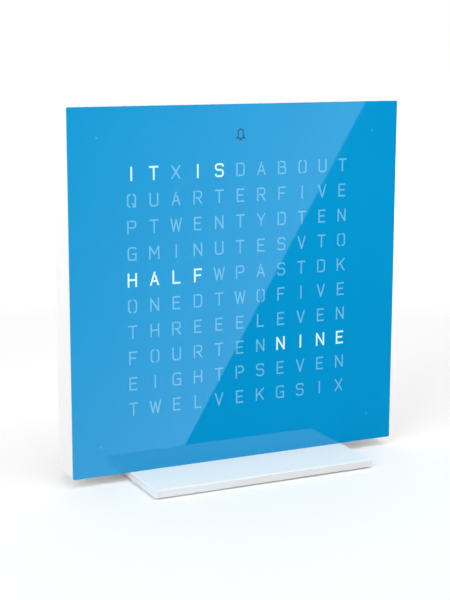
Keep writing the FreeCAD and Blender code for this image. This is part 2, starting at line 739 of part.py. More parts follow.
def screw(name, shank_diameter, shank_length, head_diameter, head_thick, x, depth, up, turn):
    """A pan-head screw: depth is where its head seats, and turn points its shank."""
    piece = doc.addObject("PartDesign::Body", name)
    plane = [item for item in piece.Origin.OriginFeatures if item.Role == "XZ_Plane"][0]
    sketch = piece.newObject("Sketcher::SketchObject", name + "_profile")
    sketch.AttachmentSupport = [(plane, "")]
    sketch.MapMode = "FlatFace"
    half_head, half_shank = value(head_diameter) / 2, value(shank_diameter) / 2
    head, shank = value(head_thick), value(shank_length)
    points = [V(0, head, 0), V(half_head, head, 0), V(half_head, 0, 0), V(half_shank, 0, 0),
              V(half_shank, -shank, 0), V(0, -shank, 0)]
    for number in range(6):
        sketch.addGeometry(Part.LineSegment(points[number], points[(number + 1) % 6]), False)
    for number in range(6):
        constrain(sketch, "Coincident", number, 2, (number + 1) % 6, 1)
        constrain(sketch, "Vertical" if number % 2 else "Horizontal", number)
    constrain(sketch, "DistanceX", -1, 1, 5, 1, formula="0")
    constrain(sketch, "DistanceY", -1, 1, 1, 2, formula="0")
    constrain(sketch, "DistanceY", 1, 2, 1, 1, formula=head_thick)
    constrain(sketch, "DistanceX", 0, 1, 0, 2, formula="(%s) / 2" % head_diameter)
    constrain(sketch, "DistanceX", 4, 2, 4, 1, formula="(%s) / 2" % shank_diameter)
    constrain(sketch, "DistanceY", 3, 2, 3, 1, formula=shank_length)
    turned = piece.newObject("PartDesign::Revolution", name + "_turned")
    turned.Profile = sketch
    turned.ReferenceAxis = (sketch, ["V_Axis"])
    turned.Angle = 360
    doc.recompute()
    drive = piece.newObject("Sketcher::SketchObject", name + "_drive")
    ground = [item for item in piece.Origin.OriginFeatures if item.Role == "XY_Plane"][0]
    drive.AttachmentSupport = [(ground, "")]
    drive.MapMode = "FlatFace"
    bind(drive, "AttachmentOffset.Base.z", head_thick)
    rectangle(drive, "0", "0", "(%s) * 0.55" % head_diameter, "(%s) * 0.14" % head_diameter)
    slot = piece.newObject("PartDesign::Pocket", name + "_slot")
    slot.Profile = drive
    bind(slot, "Length", "(%s) * 0.5" % head_thick)
    doc.recompute()
    piece.Placement = FreeCAD.Placement(V(), turn)
    place(piece, x, depth, up)
    return piece


HEAD_TO_FRONT = FreeCAD.Rotation(V(1, 0, 0), 90)
HEAD_TO_BACK = FreeCAD.Rotation(V(1, 0, 0), -90)
BOARD_SHANK = "grid_depth - board_counterbore + board_thick + screw_bite"
board_screws = group("board_screws", [
    screw("board_screw%d" % number, "small_screw_diameter", BOARD_SHANK, "small_head_diameter",
          "small_head_thick", x, "grid_front + board_counterbore", up, HEAD_TO_FRONT)
    for number, (x, up) in enumerate(mirrored_places("board_screw_place", "board_screw_place"), start=1)
])
controller_chip = box("controller_chip", "chip_side", "chip_thick", "chip_side", "0", "board_back", "0")
driver_chips = group("driver_chips", [
    box("driver_chip%d" % (number + 1), "driver_width", "driver_thick", "driver_height",
        "driver_pitch * %g" % (number - 1.5), "board_back", "driver_up")
    for number in range(4)
])
timing_crystal = box("timing_crystal", "crystal_width", "crystal_thick", "crystal_height",
                     "0", "board_back", "-crystal_drop")
capacitors = group("capacitors", [
    box("capacitor%d" % (number + 1), "capacitor_width", "capacitor_thick", "capacitor_height",
        "capacitor_pitch * %g" % (number - 2.5), "board_back", "-capacitor_down")
    for number in range(6)
])

HOLDER_SIDE = "cell_diameter + 2 * holder_wall"
cell_holder = cut(
    "cell_holder",
    box("cell_holder_block", HOLDER_SIDE, "holder_floor + cell_thick", HOLDER_SIDE,
        "-holder_across", "board_back", "-holder_down"),
    [disc("cell_holder_pocket", "cell_diameter + 4 * hole_fit", "2 * cell_thick",
          "-holder_across", "board_back + holder_floor", "-holder_down")],
)
backup_cell = disc("backup_cell", "cell_diameter", "cell_thick", "-holder_across",
                   "board_back + holder_floor", "-holder_down")
alarm_buzzer = cut(
    "alarm_buzzer",
    disc("buzzer_can", "buzzer_diameter", "buzzer_thick", "buzzer_across", "board_back", "-buzzer_down"),
    [disc("buzzer_port", "buzzer_port", "buzzer_thick", "buzzer_across",
          "board_back + buzzer_thick / 2", "-buzzer_down")],
)

SOCKET_LENGTH = "case_depth - socket_recess - board_back"
power_socket = cut(
    "power_socket",
    box("socket_block", "socket_side", SOCKET_LENGTH, "socket_side", "0", "board_back", "-socket_down"),
    [disc("socket_bore", "socket_bore", SOCKET_LENGTH, "0", "socket_bottom", "-socket_down")],
)
socket_pin = disc("socket_pin", "socket_pin_diameter", "socket_pin_length", "0", "socket_bottom",
                  "-socket_down")

# Touch sensor: a foil inside the top wall and the spring strip that ties it to the board

touch_foil = box("touch_foil", "foil_width", "foil_depth", "foil_thick", "0",
                 "case_front + (case_back - case_front) / 2 - foil_depth / 2",
                 "half_side - wall_thick - foil_thick / 2")
CONTACT_TOP = "half_side - wall_thick - foil_thick"
CONTACT_BOTTOM = "grid_half - contact_root"
contact_strip = box("contact_strip", "contact_width", "contact_thick",
                    "%s - (%s)" % (CONTACT_TOP, CONTACT_BOTTOM), "0", "board_back",
                    "( %s + (%s) ) / 2" % (CONTACT_TOP, CONTACT_BOTTOM))
contact_foot = box("contact_foot", "contact_width", "contact_foot", "contact_thick", "0",
                   "board_back + contact_thick - contact_foot", "%s - contact_thick / 2" % CONTACT_TOP)
touch_contact = doc.addObject("Part::Fuse", "touch_contact")
touch_contact.Label = "touch_contact"
touch_contact.Base = contact_strip
touch_contact.Tool = contact_foot
touch_contact.Refine = True

# Setting buttons: a cap in the rear cover pushes the plunger of a switch on the board

BUTTONS = (("minus", "-button_pitch"), ("set", "0"), ("plus", "button_pitch"))
button_caps = []
plungers = []
switches = []
for name, x in BUTTONS:
    cap = Piece("button_" + name, x=x, up="button_up")
    nub = cap.sketch("plunger_top")
    circle(nub, "0", "0", "nub_diameter")
    cap.pad(nub, "button_flange_back - plunger_top")
    flange = cap.sketch("button_flange_back - button_flange_thick")
    circle(flange, "0", "0", "button_flange_diameter")
    cap.pad(flange, "button_flange_thick")
    stem = cap.sketch("button_flange_back")
    circle(stem, "0", "0", "button_diameter")
    cap.pad(stem, "case_depth + button_proud - button_flange_back")
    cap_top = value("case_depth + button_proud")
    dress(cap, "Fillet", "_rim", "edge_bevel",
          lambda extent: extent.YLength < NEAR and abs(extent.YMin - cap_top) < NEAR)
    button_caps.append(cap.body)
    plungers.append(disc("plunger_" + name, "plunger_diameter", "plunger_top - plunger_bottom",
                         x, "plunger_bottom", "button_up"))
    switches.append(cut(
        "switch_" + name,
        box("switch_block_" + name, "switch_side", "switch_thick", "switch_side", x, "board_back", "button_up"),
        [disc("switch_bore_" + name, "plunger_diameter + 2 * button_fit", "2 * switch_thick",
              x, "board_back + switch_floor", "button_up")],
    ))
button_switches = group("button_switches", switches)

# Rear cover: a plate with a lip that finds its place in the opening of the case

rear_cover = Piece("rear_cover")
rear_sketch = rear_cover.sketch("case_back")
rectangle(rear_sketch, "0", "0", "2 * rear_half", "2 * rear_half")
rear_cover.pad(rear_sketch, "rear_cover_thick")
round_corners(rear_cover, "rear_half")
round_rim(rear_cover, "case_depth", "rear_half", "rim_radius")
LIP_OUTSIDE = "2 * (opening_half - fit_gap)"
lip_sketch = rear_cover.sketch("flange_front")
rectangle(lip_sketch, "0", "0", LIP_OUTSIDE, LIP_OUTSIDE)
rectangle(lip_sketch, "0", "0", LIP_OUTSIDE + " - 2 * lip_thick", LIP_OUTSIDE + " - 2 * lip_thick")
rear_cover.pad(lip_sketch, "flange_thick")
rear_through = rear_cover.sketch("case_back")
for x, up in mirrored_places("rear_screw_place", "rear_screw_up"):
    circle(rear_through, x, up, "small_screw_diameter + 2 * fit_gap")
for _, x in BUTTONS:
    circle(rear_through, x, "button_up", "button_diameter + 2 * button_fit")
rectangle(rear_through, "0", "-socket_down", "socket_side + 2 * fit_gap", "socket_side + 2 * fit_gap")
circle(rear_through, "buzzer_across", "-buzzer_down", "sound_hole")
for number in range(6):
    turn = number * math.pi / 3
    circle(rear_through, "buzzer_across + sound_ring * %.6f" % math.cos(turn),
           "sound_ring * %.6f - buzzer_down" % math.sin(turn), "sound_hole")
rear_cover.pocket(rear_through, "rear_cover_thick")
rear_heads = rear_cover.sketch("case_depth")
for x, up in mirrored_places("rear_screw_place", "rear_screw_up"):
    circle(rear_heads, x, up, "small_head_diameter + 2 * fit_gap")
rear_cover.pocket(rear_heads, "rear_counterbore", onward=False)

REAR_SHANK = "rear_cover_thick - rear_counterbore + screw_bite"
rear_screws = group("rear_screws", [
    screw("rear_screw%d" % number, "small_screw_diameter", REAR_SHANK, "small_head_diameter",
          "small_head_thick", x, "case_depth - rear_counterbore", up, HEAD_TO_BACK)
    for number, (x, up) in enumerate(mirrored_places("rear_screw_place", "rear_screw_up"), start=1)
])

# Base plate, held by two countersunk screws in threaded inserts in the bottom of the case

base_plate = Piece("base_plate", depth="case_depth / 2", up="-half_side")
base_sketch = base_plate.sketch("-base_thick", role="XY_Plane")
rectangle(base_sketch, "0", "0", "base_width", "base_depth")
base_plate.pad(base_sketch, "base_thick")
dress(base_plate, "Chamfer", "_bevel", "edge_bevel", lambda extent: True)
screw_sketch = base_plate.sketch("-base_thick", role="XY_Plane")
for x in ("base_screw_across", "-base_screw_across"):
    circle(screw_sketch, x, "0", "base_screw_diameter + 2 * hole_fit")
base_plate.pocket(screw_sketch, "base_thick")
pad_sketch = base_plate.sketch("-base_thick", role="XY_Plane")
PAD_PLACES = mirrored_places("( base_width / 2 - pad_inset )", "( base_depth / 2 - pad_inset )")
for x, y in PAD_PLACES:
    circle(pad_sketch, x, y, "pad_diameter + 2 * hole_fit")
base_plate.pocket(pad_sketch, "pad_recess")

HEAD_CONE = "( base_head_diameter - base_screw_diameter ) / 2"


def upright(label, kind, x, y, z, **sizes):
    """A cylinder or cone that stands on the ground plane's direction, by formulas from the origin."""
    solid = doc.addObject(kind, label)
    solid.Label = label
    for prop, formula in sizes.items():
        bind(solid, prop, formula)
    for axis, formula in (("x", x), ("y", y), ("z", z)):
        bind(solid, "Placement.Base." + axis, formula)
    return solid


base_screw_list = []
insert_list = []
countersinks = []
for number, x in enumerate(("base_screw_across", "-base_screw_across"), start=1):
    countersinks.append(upright(
        "countersink%d" % number, "Part::Cone", x, "0", "base_lift",
        Radius1="base_head_diameter / 2 + hole_fit", Radius2="base_screw_diameter / 2 + hole_fit",
        Height=HEAD_CONE))
    head = upright("base_screw_head%d" % number, "Part::Cone", x, "0", "base_lift",
                   Radius1="base_head_diameter / 2", Radius2="base_screw_diameter / 2", Height=HEAD_CONE)
    shank = upright("base_screw_shank%d" % number, "Part::Cylinder", x, "0", "base_lift",
                    Radius="base_screw_diameter / 2", Height="base_thick + insert_lift + insert_length")
    base_screw = doc.addObject("Part::Fuse", "base_screw_blank%d" % number)
    base_screw.Base = head
    base_screw.Tool = shank
    base_screw.Refine = True
    drive = upright("base_screw_drive%d" % number, "Part::Cylinder", x, "0", "base_lift",
                    Radius="base_head_diameter * 0.2", Height=HEAD_CONE)
    base_screw_list.append(cut("base_screw%d" % number, base_screw, [drive]))
    sleeve = upright("insert_sleeve%d" % number, "Part::Cylinder", x, "0", "base_top + insert_lift",
                     Radius="insert_diameter / 2", Height="insert_length")
    thread = upright("insert_thread%d" % number, "Part::Cylinder", x, "0", "base_top",
                     Radius="base_screw_diameter / 2 + hole_fit", Height="2 * insert_length")
    insert_list.append(cut("base_insert%d" % number, sleeve, [thread]))
base_plate_cut = cut("base", base_plate.body, countersinks)
base_screws = group("base_screws", base_screw_list)
base_inserts = group("base_inserts", insert_list)
base_pads = group("base_pads", [
    upright("base_pad%d" % number, "Part::Cylinder", x, y, "0", Radius="pad_diameter / 2", Height="pad_thick")
    for number, (x, y) in enumerate(PAD_PLACES, start=1)
])

SUB_PARTS = [
    face_film, face_plate.body, cover_magnets, case.body, case_magnets, light_grid.body,
    lamp_board.body, lamps, board_screws, controller_chip, driver_chips, timing_crystal, capacitors,
    cell_holder, backup_cell, alarm_buzzer, power_socket, socket_pin, touch_foil, touch_contact,
    button_switches, *plungers, *button_caps, rear_cover.body, rear_screws,
    base_plate_cut, base_screws, base_inserts, base_pads,
]

doc.recompute()
for item in doc.Objects:
    if "Invalid" in item.State or "Error" in item.State:
        raise RuntimeError("%s did not compute: %s" % (item.Label, item.State))
for sub_part in SUB_PARTS:
    if sub_part.Shape.isNull() or not sub_part.Shape.isValid() or not sub_part.Shape.Solids:
        raise RuntimeError("%s has no valid shape" % sub_part.Label)

os.makedirs("parts", exist_ok=True)
for sub_part in SUB_PARTS:
    sub_part.Shape.exportStep("parts/%s.step" % sub_part.Label)
    extent = sub_part.Shape.BoundBox
    print("%-16s %3d solids  x %7.2f %7.2f  y %6.2f %6.2f  z %6.2f %6.2f" % (
        sub_part.Label, len(sub_part.Shape.Solids), extent.XMin, extent.XMax,
        extent.YMin, extent.YMax, extent.ZMin, extent.ZMax))
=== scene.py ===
# %% [markdown]
# # A word clock on its base plate
# This lesson dresses a small table clock that tells the time in words. The construction comes
# as a finished frame with every piece at its real size. The work here is light and surface: the
# gloss of the blue film, the glow of the lit letters, the frosted plate that carries the clock,
# and the fine forms of its screws, lamps and pads.

# %% Load the frame
import math
import bpy
import bmesh
from mathutils import Matrix, Vector


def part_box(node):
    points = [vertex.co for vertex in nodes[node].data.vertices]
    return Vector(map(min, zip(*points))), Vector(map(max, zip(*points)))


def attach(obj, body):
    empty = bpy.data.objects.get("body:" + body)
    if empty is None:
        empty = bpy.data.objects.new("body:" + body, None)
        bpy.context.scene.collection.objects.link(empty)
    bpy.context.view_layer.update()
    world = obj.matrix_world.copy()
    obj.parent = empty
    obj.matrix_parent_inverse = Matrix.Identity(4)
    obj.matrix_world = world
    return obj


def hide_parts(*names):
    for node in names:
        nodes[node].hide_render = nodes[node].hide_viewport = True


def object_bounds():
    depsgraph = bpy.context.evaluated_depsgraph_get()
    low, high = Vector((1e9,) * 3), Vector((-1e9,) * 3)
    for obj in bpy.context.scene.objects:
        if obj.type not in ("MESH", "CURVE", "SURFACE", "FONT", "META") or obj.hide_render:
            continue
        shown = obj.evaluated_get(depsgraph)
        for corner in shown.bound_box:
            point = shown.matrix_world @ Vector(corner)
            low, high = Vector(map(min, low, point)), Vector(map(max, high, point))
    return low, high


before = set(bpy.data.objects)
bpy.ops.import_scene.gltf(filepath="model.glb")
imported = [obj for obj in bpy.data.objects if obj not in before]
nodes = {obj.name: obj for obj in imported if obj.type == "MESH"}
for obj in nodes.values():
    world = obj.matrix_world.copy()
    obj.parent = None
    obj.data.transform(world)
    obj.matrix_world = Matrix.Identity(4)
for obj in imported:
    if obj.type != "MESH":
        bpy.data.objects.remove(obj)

MM = 0.001
cad_low, cad_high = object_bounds()
print("pieces in the frame:", len(nodes))

# %% [markdown]
# ## Colours and nodes
# Colours are written as they look on a screen, in hex, and one function turns them into the
# linear values that the renderer works with. A second function adds a node and sets or links
# its inputs, so that each material below reads as a list of what it is made of.


# %% Helpers for colours and nodes
def linear(hex_colour):
    """Turn an sRGB hex colour into linear red, green, blue and alpha."""
    parts = [int(hex_colour[place:place + 2], 16) / 255 for place in (1, 3, 5)]
    return tuple(p / 12.92 if p <= 0.04045 else ((p + 0.055) / 1.055) ** 2.4 for p in parts) + (1.0,)


def add(tree, kind, inputs=None, **settings):
    """Add a node. An input given as a socket is linked, any other value is set."""
    made = tree.nodes.new(kind)
    for name, setting in settings.items():
        setattr(made, name, setting)
    for name, item in (inputs or {}).items():
        if isinstance(item, bpy.types.NodeSocket):
            tree.links.new(item, made.inputs[name])
        else:
            made.inputs[name].default_value = item
    return made


def new_material(name):
    """Start an empty material and give it with its tree."""
    made = bpy.data.materials.new(name)
    made.use_nodes = True
    made.node_tree.nodes.clear()
    return made, made.node_tree


print("white in linear light:", linear("#FFFFFF"))

# %% [markdown]
# ## Surfaces in real sizes
# A real surface is never one flat colour. It could be painted as a picture, but then each piece
# would need its own map. A noise whose lumps have a size in millimetres suits them all: it gives
# a faint change of colour, a small change of gloss, and a fine relief a few times smaller. Noise
# mostly stays between 0.3 and 0.7, so that stretch is spread over the range in use.

# %% Recipe for a worked surface
NOISE_LOW, NOISE_HIGH = 0.3, 0.7
MIX_LOW, MIX_HIGH, MIX_RESULT = 6, 7, 2        # the colour sockets of the mixing node
GLOSS_SPREAD = 0.03
RELIEF_SHARE = 4
UNSTRETCHED = (1, 1, 1)


def surface(name, low, high, size_mm, rough, depth_mm=0.0, ior=None, relief_mm=None,
            uneven=GLOSS_SPREAD, detail=3.0, stretch=UNSTRETCHED, sockets=None):
    """Build a finish: two colours in lumps of size_mm, a roughness that varies with them by uneven,
    and a relief that is depth_mm deep in lumps of relief_mm."""
    made, tree = new_material(name)
    place = add(tree, "ShaderNodeTexCoord").outputs["Object"]
    if stretch != UNSTRETCHED:
        place = add(tree, "ShaderNodeMapping", {"Vector": place, "Scale": stretch}).outputs["Vector"]
    lumps = add(tree, "ShaderNodeTexNoise", {"Vector": place, "Scale": 1 / (size_mm * MM),
                                             "Detail": detail})
    spread = {"Value": lumps.outputs["Fac"], "From Min": NOISE_LOW, "From Max": NOISE_HIGH}
    share = add(tree, "ShaderNodeMapRange", spread)
    mottle = add(tree, "ShaderNodeMix", {"Factor": share.outputs["Result"], MIX_LOW: linear(low),
                                         MIX_HIGH: linear(high)}, data_type="RGBA")
    inputs = {"Base Color": mottle.outputs[MIX_RESULT], "Roughness": rough}
    if uneven:
        gloss = add(tree, "ShaderNodeMapRange", {**spread, "To Min": rough - uneven,
                                                 "To Max": rough + uneven})
        inputs["Roughness"] = gloss.outputs["Result"]
    if depth_mm:
        scale = 1 / ((relief_mm or size_mm / RELIEF_SHARE) * MM)
        fine = add(tree, "ShaderNodeTexNoise", {"Vector": place, "Scale": scale, "Detail": detail})
        bump = add(tree, "ShaderNodeBump", {"Height": fine.outputs["Fac"], "Distance": depth_mm * MM})
        inputs["Normal"] = bump.outputs["Normal"]
    if ior:
        inputs["IOR"] = ior
    main = add(tree, "ShaderNodeBsdfPrincipled", {**inputs, **(sockets or {})})
    add(tree, "ShaderNodeOutputMaterial", {"Surface": main.outputs["BSDF"]})
    print(name, "has lumps of", size_mm, "mm")
    return made


print("a noise of 1 mm has the scale", 1 / MM)

# %% [markdown]
# ## Camera
# A camera could be aimed by eye, but the dial's reflection falls right only from the true place.
# The four corners of the square dial fix it: a little to the left, a little above, and about
# half a metre away with a long lens. The numbers are real distances from the middle of the
# clock's foot, and the angles turn the camera to the right and down.

# %% Place the camera
CAMERA_PLACE = Vector((-227.5, -473.9, 162.9)) * MM
CAMERA_TURN = math.radians(25.447)
CAMERA_DIP = math.radians(10.689)
CAMERA_ROLL = math.radians(0.12)
LENS_MM = 83.8
CLIP_START = 0.01

camera_data = bpy.data.cameras.new("camera")
camera_data.lens = LENS_MM
camera_data.clip_start = CLIP_START
camera = bpy.data.objects.new("camera", camera_data)
bpy.context.collection.objects.link(camera)
camera.matrix_world = (
    Matrix.Translation(CAMERA_PLACE)
    @ Matrix.Rotation(-CAMERA_TURN, 4, "Z")
    @ Matrix.Rotation(math.pi / 2 - CAMERA_DIP, 4, "X")
    @ Matrix.Rotation(CAMERA_ROLL, 4, "Z")
)
bpy.context.scene.camera = camera
bpy.context.scene.view_settings.view_transform = "Standard"
print("camera at", tuple(round(v, 4) for v in CAMERA_PLACE))

# %% [markdown]
# ## Sky
# The clock stands in an even white room. A white sky could light it alone, but then no side
# would be brighter than another. So the sky looks fully white to the camera and in reflections,
# but it lights the clock only about half as much, which leaves room for lamps.

# %% Build the sky
SKY_LEVEL = 0.51


def any_of(tree, names):
    """One where a ray is any of the named kinds."""
    rays = add(tree, "ShaderNodeLightPath")
    total = rays.outputs[names[0]]
    for name in names[1:]:
        total = add(tree, "ShaderNodeMath", {0: total, 1: rays.outputs[name]},
                    operation="MAXIMUM").outputs[0]
    return total


SEEN_RAYS = ("Is Camera Ray", "Is Glossy Ray", "Is Transmission Ray")


def build_sky():
    sky = bpy.data.worlds.new("white_sky")
    sky.use_nodes = True
    tree = sky.node_tree
    tree.nodes.clear()
    level = add(tree, "ShaderNodeMapRange", {"Value": any_of(tree, SEEN_RAYS), "To Min": SKY_LEVEL,
                                             "To Max": 1.0})
    light = add(tree, "ShaderNodeBackground", {"Color": (1, 1, 1, 1),
                                               "Strength": level.outputs["Result"]})
    add(tree, "ShaderNodeOutputWorld", {"Surface": light.outputs["Background"]})
    bpy.context.scene.world = sky


build_sky()
print("sky lights the clock at", SKY_LEVEL)

# %% [markdown]
# ## Floor
# The floor is a sheet of matt white paper that keeps the clock's soft shadow. A curved backdrop
# would hide the horizon from one side only, so this sheet is flat and wide, and it glows farther
# off until it melts into the sky. The camera sees it a touch lighter than it lights the clock.

# %% Build the floor
FLOOR_HALF = 6.0
FLOOR_WHITE = 0.92
FADE_NEAR, FADE_FAR = 0.3, 1.0
FADE_LEVEL = 0.7
PAPER_LIFT = 0.1


def flat_piece(name, corners, faces):
    """Make an object from points and faces and put it in the scene."""
    mesh = bpy.data.meshes.new(name)
    mesh.from_pydata(corners, [], faces)
    made = bpy.data.objects.new(name, mesh)
    bpy.context.collection.objects.link(made)
    return made


def build_floor():
    # Backdrop paper: matt and white, with no gloss at all.
    paper, tree = new_material("white_paper_sweep")
    place = add(tree, "ShaderNodeTexCoord").outputs["Object"]
    away = add(tree, "ShaderNodeVectorMath", {0: place}, operation="LENGTH").outputs["Value"]
    fade = add(tree, "ShaderNodeMapRange", {"Value": away, "From Min": FADE_NEAR, "From Max": FADE_FAR,
                                            "To Min": 0.0, "To Max": FADE_LEVEL}).outputs["Result"]
    glow = add(tree, "ShaderNodeMath", {0: any_of(tree, SEEN_RAYS), 1: PAPER_LIFT, 2: fade},
               operation="MULTIPLY_ADD").outputs[0]
    main = add(tree, "ShaderNodeBsdfPrincipled", {
        "Base Color": (FLOOR_WHITE, FLOOR_WHITE, FLOOR_WHITE, 1), "Roughness": 1.0,
        "Specular IOR Level": 0.0, "Emission Color": (1, 1, 1, 1), "Emission Strength": glow})
    add(tree, "ShaderNodeOutputMaterial", {"Surface": main.outputs["BSDF"]})
    half = FLOOR_HALF
    corners = [(-half, -half, 0), (half, -half, 0), (half, half, 0), (-half, half, 0)]
    floor = flat_piece("floor", corners, [(0, 1, 2, 3)])
    floor.data.materials.append(paper)


build_floor()
print("floor is", 2 * FLOOR_HALF, "m wide")

# %% [markdown]
# ## Lamps
# Three large soft lamps shape the clock: one at the left brightens the side wall, one overhead
# lifts the base plate, and a weak one behind keeps the back from going dull. Small lamps would
# do, but they throw hard shadows. These don't show in reflections, because the dial mirrors its
# own cards instead.

# %% Hang the lamps
LAMPS = {
    "key_softbox": {"place": (-1.45, -0.9, 1.1), "size": 1.2, "power": 12.8},
    "top_softbox": {"place": (0.2, -0.5, 1.8), "size": 1.4, "power": 13.0},
    "back_softbox": {"place": (0.9, 1.4, 0.7), "size": 1.0, "power": 3.0},
}


def hang_lamp(name, place, size, power):
    """A square soft lamp that faces the middle of the clock."""
    data = bpy.data.lights.new(name, "AREA")
    data.size = size
    data.energy = power
    lamp = bpy.data.objects.new(name, data)
    bpy.context.collection.objects.link(lamp)
    middle = Vector((0, 0, cad_high[2] / 2))
    lamp.location = place
    lamp.rotation_euler = (middle - Vector(place)).to_track_quat("-Z", "Y").to_euler()
    lamp.visible_glossy = False


for name, settings in LAMPS.items():
    hang_lamp(name, **settings)
print("lamps:", ", ".join(LAMPS))

# %% [markdown]
# ## Where the dial's reflection lies
# A glossy dial is a mirror for whatever stands in front of it. A slanting line crosses it: left
# of the line it mirrors something bright, right of the line something dark. Painted on the film,
# the line would stay put as the view turns, so it comes from things in the room. To find where
# that edge lies there, mirror the camera in the dial, draw a ray from there through a point of
# the dial, and follow it to the floor.

# %% Trace the mirrored rays
film_low, film_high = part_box("face_film")
DIAL_FRONT = film_low.y
EDGE_HIGH = (53.2, 134.9)      # the line's upper end, mm from the dial's middle and its foot
EDGE_LOW = (-22.9, 7.7)        # its lower end
CARD_LIFT = 0.3 * MM


def on_floor(x_mm, up_mm):
    """Where the mirrored camera sees the floor through a point of the dial."""
    mirrored = Vector((CAMERA_PLACE.x, 2 * DIAL_FRONT - CAMERA_PLACE.y, CAMERA_PLACE.z))
    point = Vector((x_mm * MM, DIAL_FRONT, film_low.z + up_mm * MM))
    way = point - mirrored
    reach = (CARD_LIFT - mirrored.z) / way.z
    return mirrored + way * reach


def line_x(up_mm):
    """The slanting line's place across the dial at a height above its foot."""
    share = (up_mm - EDGE_LOW[1]) / (EDGE_HIGH[1] - EDGE_LOW[1])
    return EDGE_LOW[0] + share * (EDGE_HIGH[0] - EDGE_LOW[0])


HALF_WAY = (EDGE_LOW[1] + EDGE_HIGH[1]) / 2
print("half way up, the edge is mirrored from", on_floor(line_x(HALF_WAY), HALF_WAY))

# %% [markdown]
# ## Cards that only reflections see
# Two cards lie on the floor on either side of that edge, one pale blue and one black. Plain
# cards would also light the clock and show in the picture, so only reflections see these. The
# pale one is brightest at the edge and at the dial's foot and fades towards the far corner, as a
# lit wall would. Each card is a grid that follows the dial, and each point carries its level.

# %% Lay the cards
CARD_COLOUR = "#B7E1FF"
CARD_LEVEL = 2.45
CARD_FADE = 0.0175             # how much darker the card gets with each mm from the edge
FOOT_LEVEL = 0.45              # how much brighter it is at the very foot of the dial
FOOT_REACH = 40.0
CARD_REACH = 150.0
CARD_LOW, CARD_HIGH = 0.2, 152.0
CARD_ROWS, CARD_COLUMNS = 30, 16


def bright_level(away, up):
    """How bright the pale card is, by mm from the edge and mm above the dial's foot."""
    return CARD_LEVEL - CARD_FADE * away + FOOT_LEVEL * max(1 - up / FOOT_REACH, 0.0)


def lay_card(name, side, level_at):
    """A card that follows the dial from the edge to the left (-1) or to the right (1)."""
    corners, levels = [], []
    for row in range(CARD_ROWS + 1):
        up = CARD_LOW + (CARD_HIGH - CARD_LOW) * row / CARD_ROWS
        for column in range(CARD_COLUMNS + 1):
            away = CARD_REACH * column / CARD_COLUMNS
            corners.append(on_floor(line_x(up) + side * away, up))
            levels.append(max(level_at(away, up), 0.0))
    width = CARD_COLUMNS + 1
    faces = [(row * width + column, row * width + column + 1,
              (row + 1) * width + column + 1, (row + 1) * width + column)
             for row in range(CARD_ROWS) for column in range(CARD_COLUMNS)]
    card = flat_piece(name, corners, faces)
    card.data.attributes.new("level", "FLOAT", "POINT").data.foreach_set("value", levels)
    # Card: it has no surface of its own to the eye, only the light that its mirror image sends.
    glow, tree = new_material(name + "_glow")
    strength = add(tree, "ShaderNodeAttribute", attribute_name="level").outputs["Fac"]
    light = add(tree, "ShaderNodeEmission", {"Color": linear(CARD_COLOUR), "Strength": strength})
    add(tree, "ShaderNodeOutputMaterial", {"Surface": light.outputs["Emission"]})
    card.data.materials.append(glow)
    for kind in ("camera", "diffuse", "transmission", "volume_scatter", "shadow"):
        setattr(card, "visible_" + kind, False)
    print(name, "has", len(faces), "faces")


lay_card("bright_card", -1, bright_level)
lay_card("black_card", 1, lambda away, up: 0.0)

# %% [markdown]
# ## Film and ink
# The dial's face is a vinyl film, printed blue on its back and clear in front, so its gloss is
# that of the clear skin. A clear coat over a blue base would also do, but one smooth shader with
# the skin's IOR gives the same mirror.

# %% Make the film and the ink
# Calendered vinyl under a clear skin: deep blue, mirror smooth, with the faintest orange peel.
film_blue = surface("blue_gloss_vinyl", "#0699D5", "#089BD7", 40.0, 0.02, 0.0005, ior=1.5,
                    relief_mm=9.0, uneven=0.0, detail=1.0)

# Screen printed ink: dark blue, a little duller than the film around it.
mark_ink = surface("dark_blue_screen_ink", "#063F6B", "#084876", 1.0, 0.12, ior=1.5, uneven=0.0)

# %% [markdown]
# ## Letters that are off
# A letter whose lamp is off shows the opal plate at the bottom of its slot. The film's walls
# tint what light gets there. That could be left to the light itself, but a slot this shallow
# needs very many samples for it, so the tint is part of the window's own colour.

# %% Make the windows that are off
# Opal acrylic at the bottom of a cut letter: pale blue, with the gloss of the skin above it.
unlit_pale = surface("shaded_opal_window", "#6EBFE9", "#7AC7ED", 5.0, 0.05, ior=1.5, uneven=0.0)

# The same in the corner dots, so small that hardly any light comes back: a deeper blue.
dot_shade = surface("deep_shaded_opal_window", "#38AADF", "#42B0E3", 5.0, 0.05, ior=1.5,
                    uneven=0.0)

# %% [markdown]
# ## Letters that are lit
# A lit letter is white with a thin cool rim, where light leaks sideways in the clear skin. Real
# lamps behind the plate would light it too, but they would be noisy and change with each view.
# Instead the window glows by itself. It is black apart from its glow, so that it stays the same
# under any lamp.

# %% Make what glows
BLACK = "#000000"


def glowing(name, colour, strength, rough, ior, body=BLACK):
    """Build a finish that sends out light of one colour."""
    made, tree = new_material(name)
    main = add(tree, "ShaderNodeBsdfPrincipled", {
        "Base Color": linear(body), "Roughness": rough, "IOR": ior,
        "Emission Color": linear(colour), "Emission Strength": strength})
    add(tree, "ShaderNodeOutputMaterial", {"Surface": main.outputs["BSDF"]})
    print(name, "glows at", strength)
    return made


# Lamplight through opal acrylic: the brightest white of the clock, with a breath of cyan.
lit_white = glowing("lamplight_through_opal", "#E8FCFF", 1.0, rough=0.2, ior=1.49)

# Lamplight in the clear skin: a thin cool halo that softens the letter's edge.
lit_rim = glowing("lamplight_in_clear_skin", "#62CCF7", 1.0, rough=0.05, ior=1.5)

# Phosphor in silicone over a lamp that is on: it outshines its own yellow and turns white.
phosphor_lit = glowing("glowing_phosphor", "#FFFFFF", 2.0, rough=0.5, ior=1.41, body="#FFF6D8")

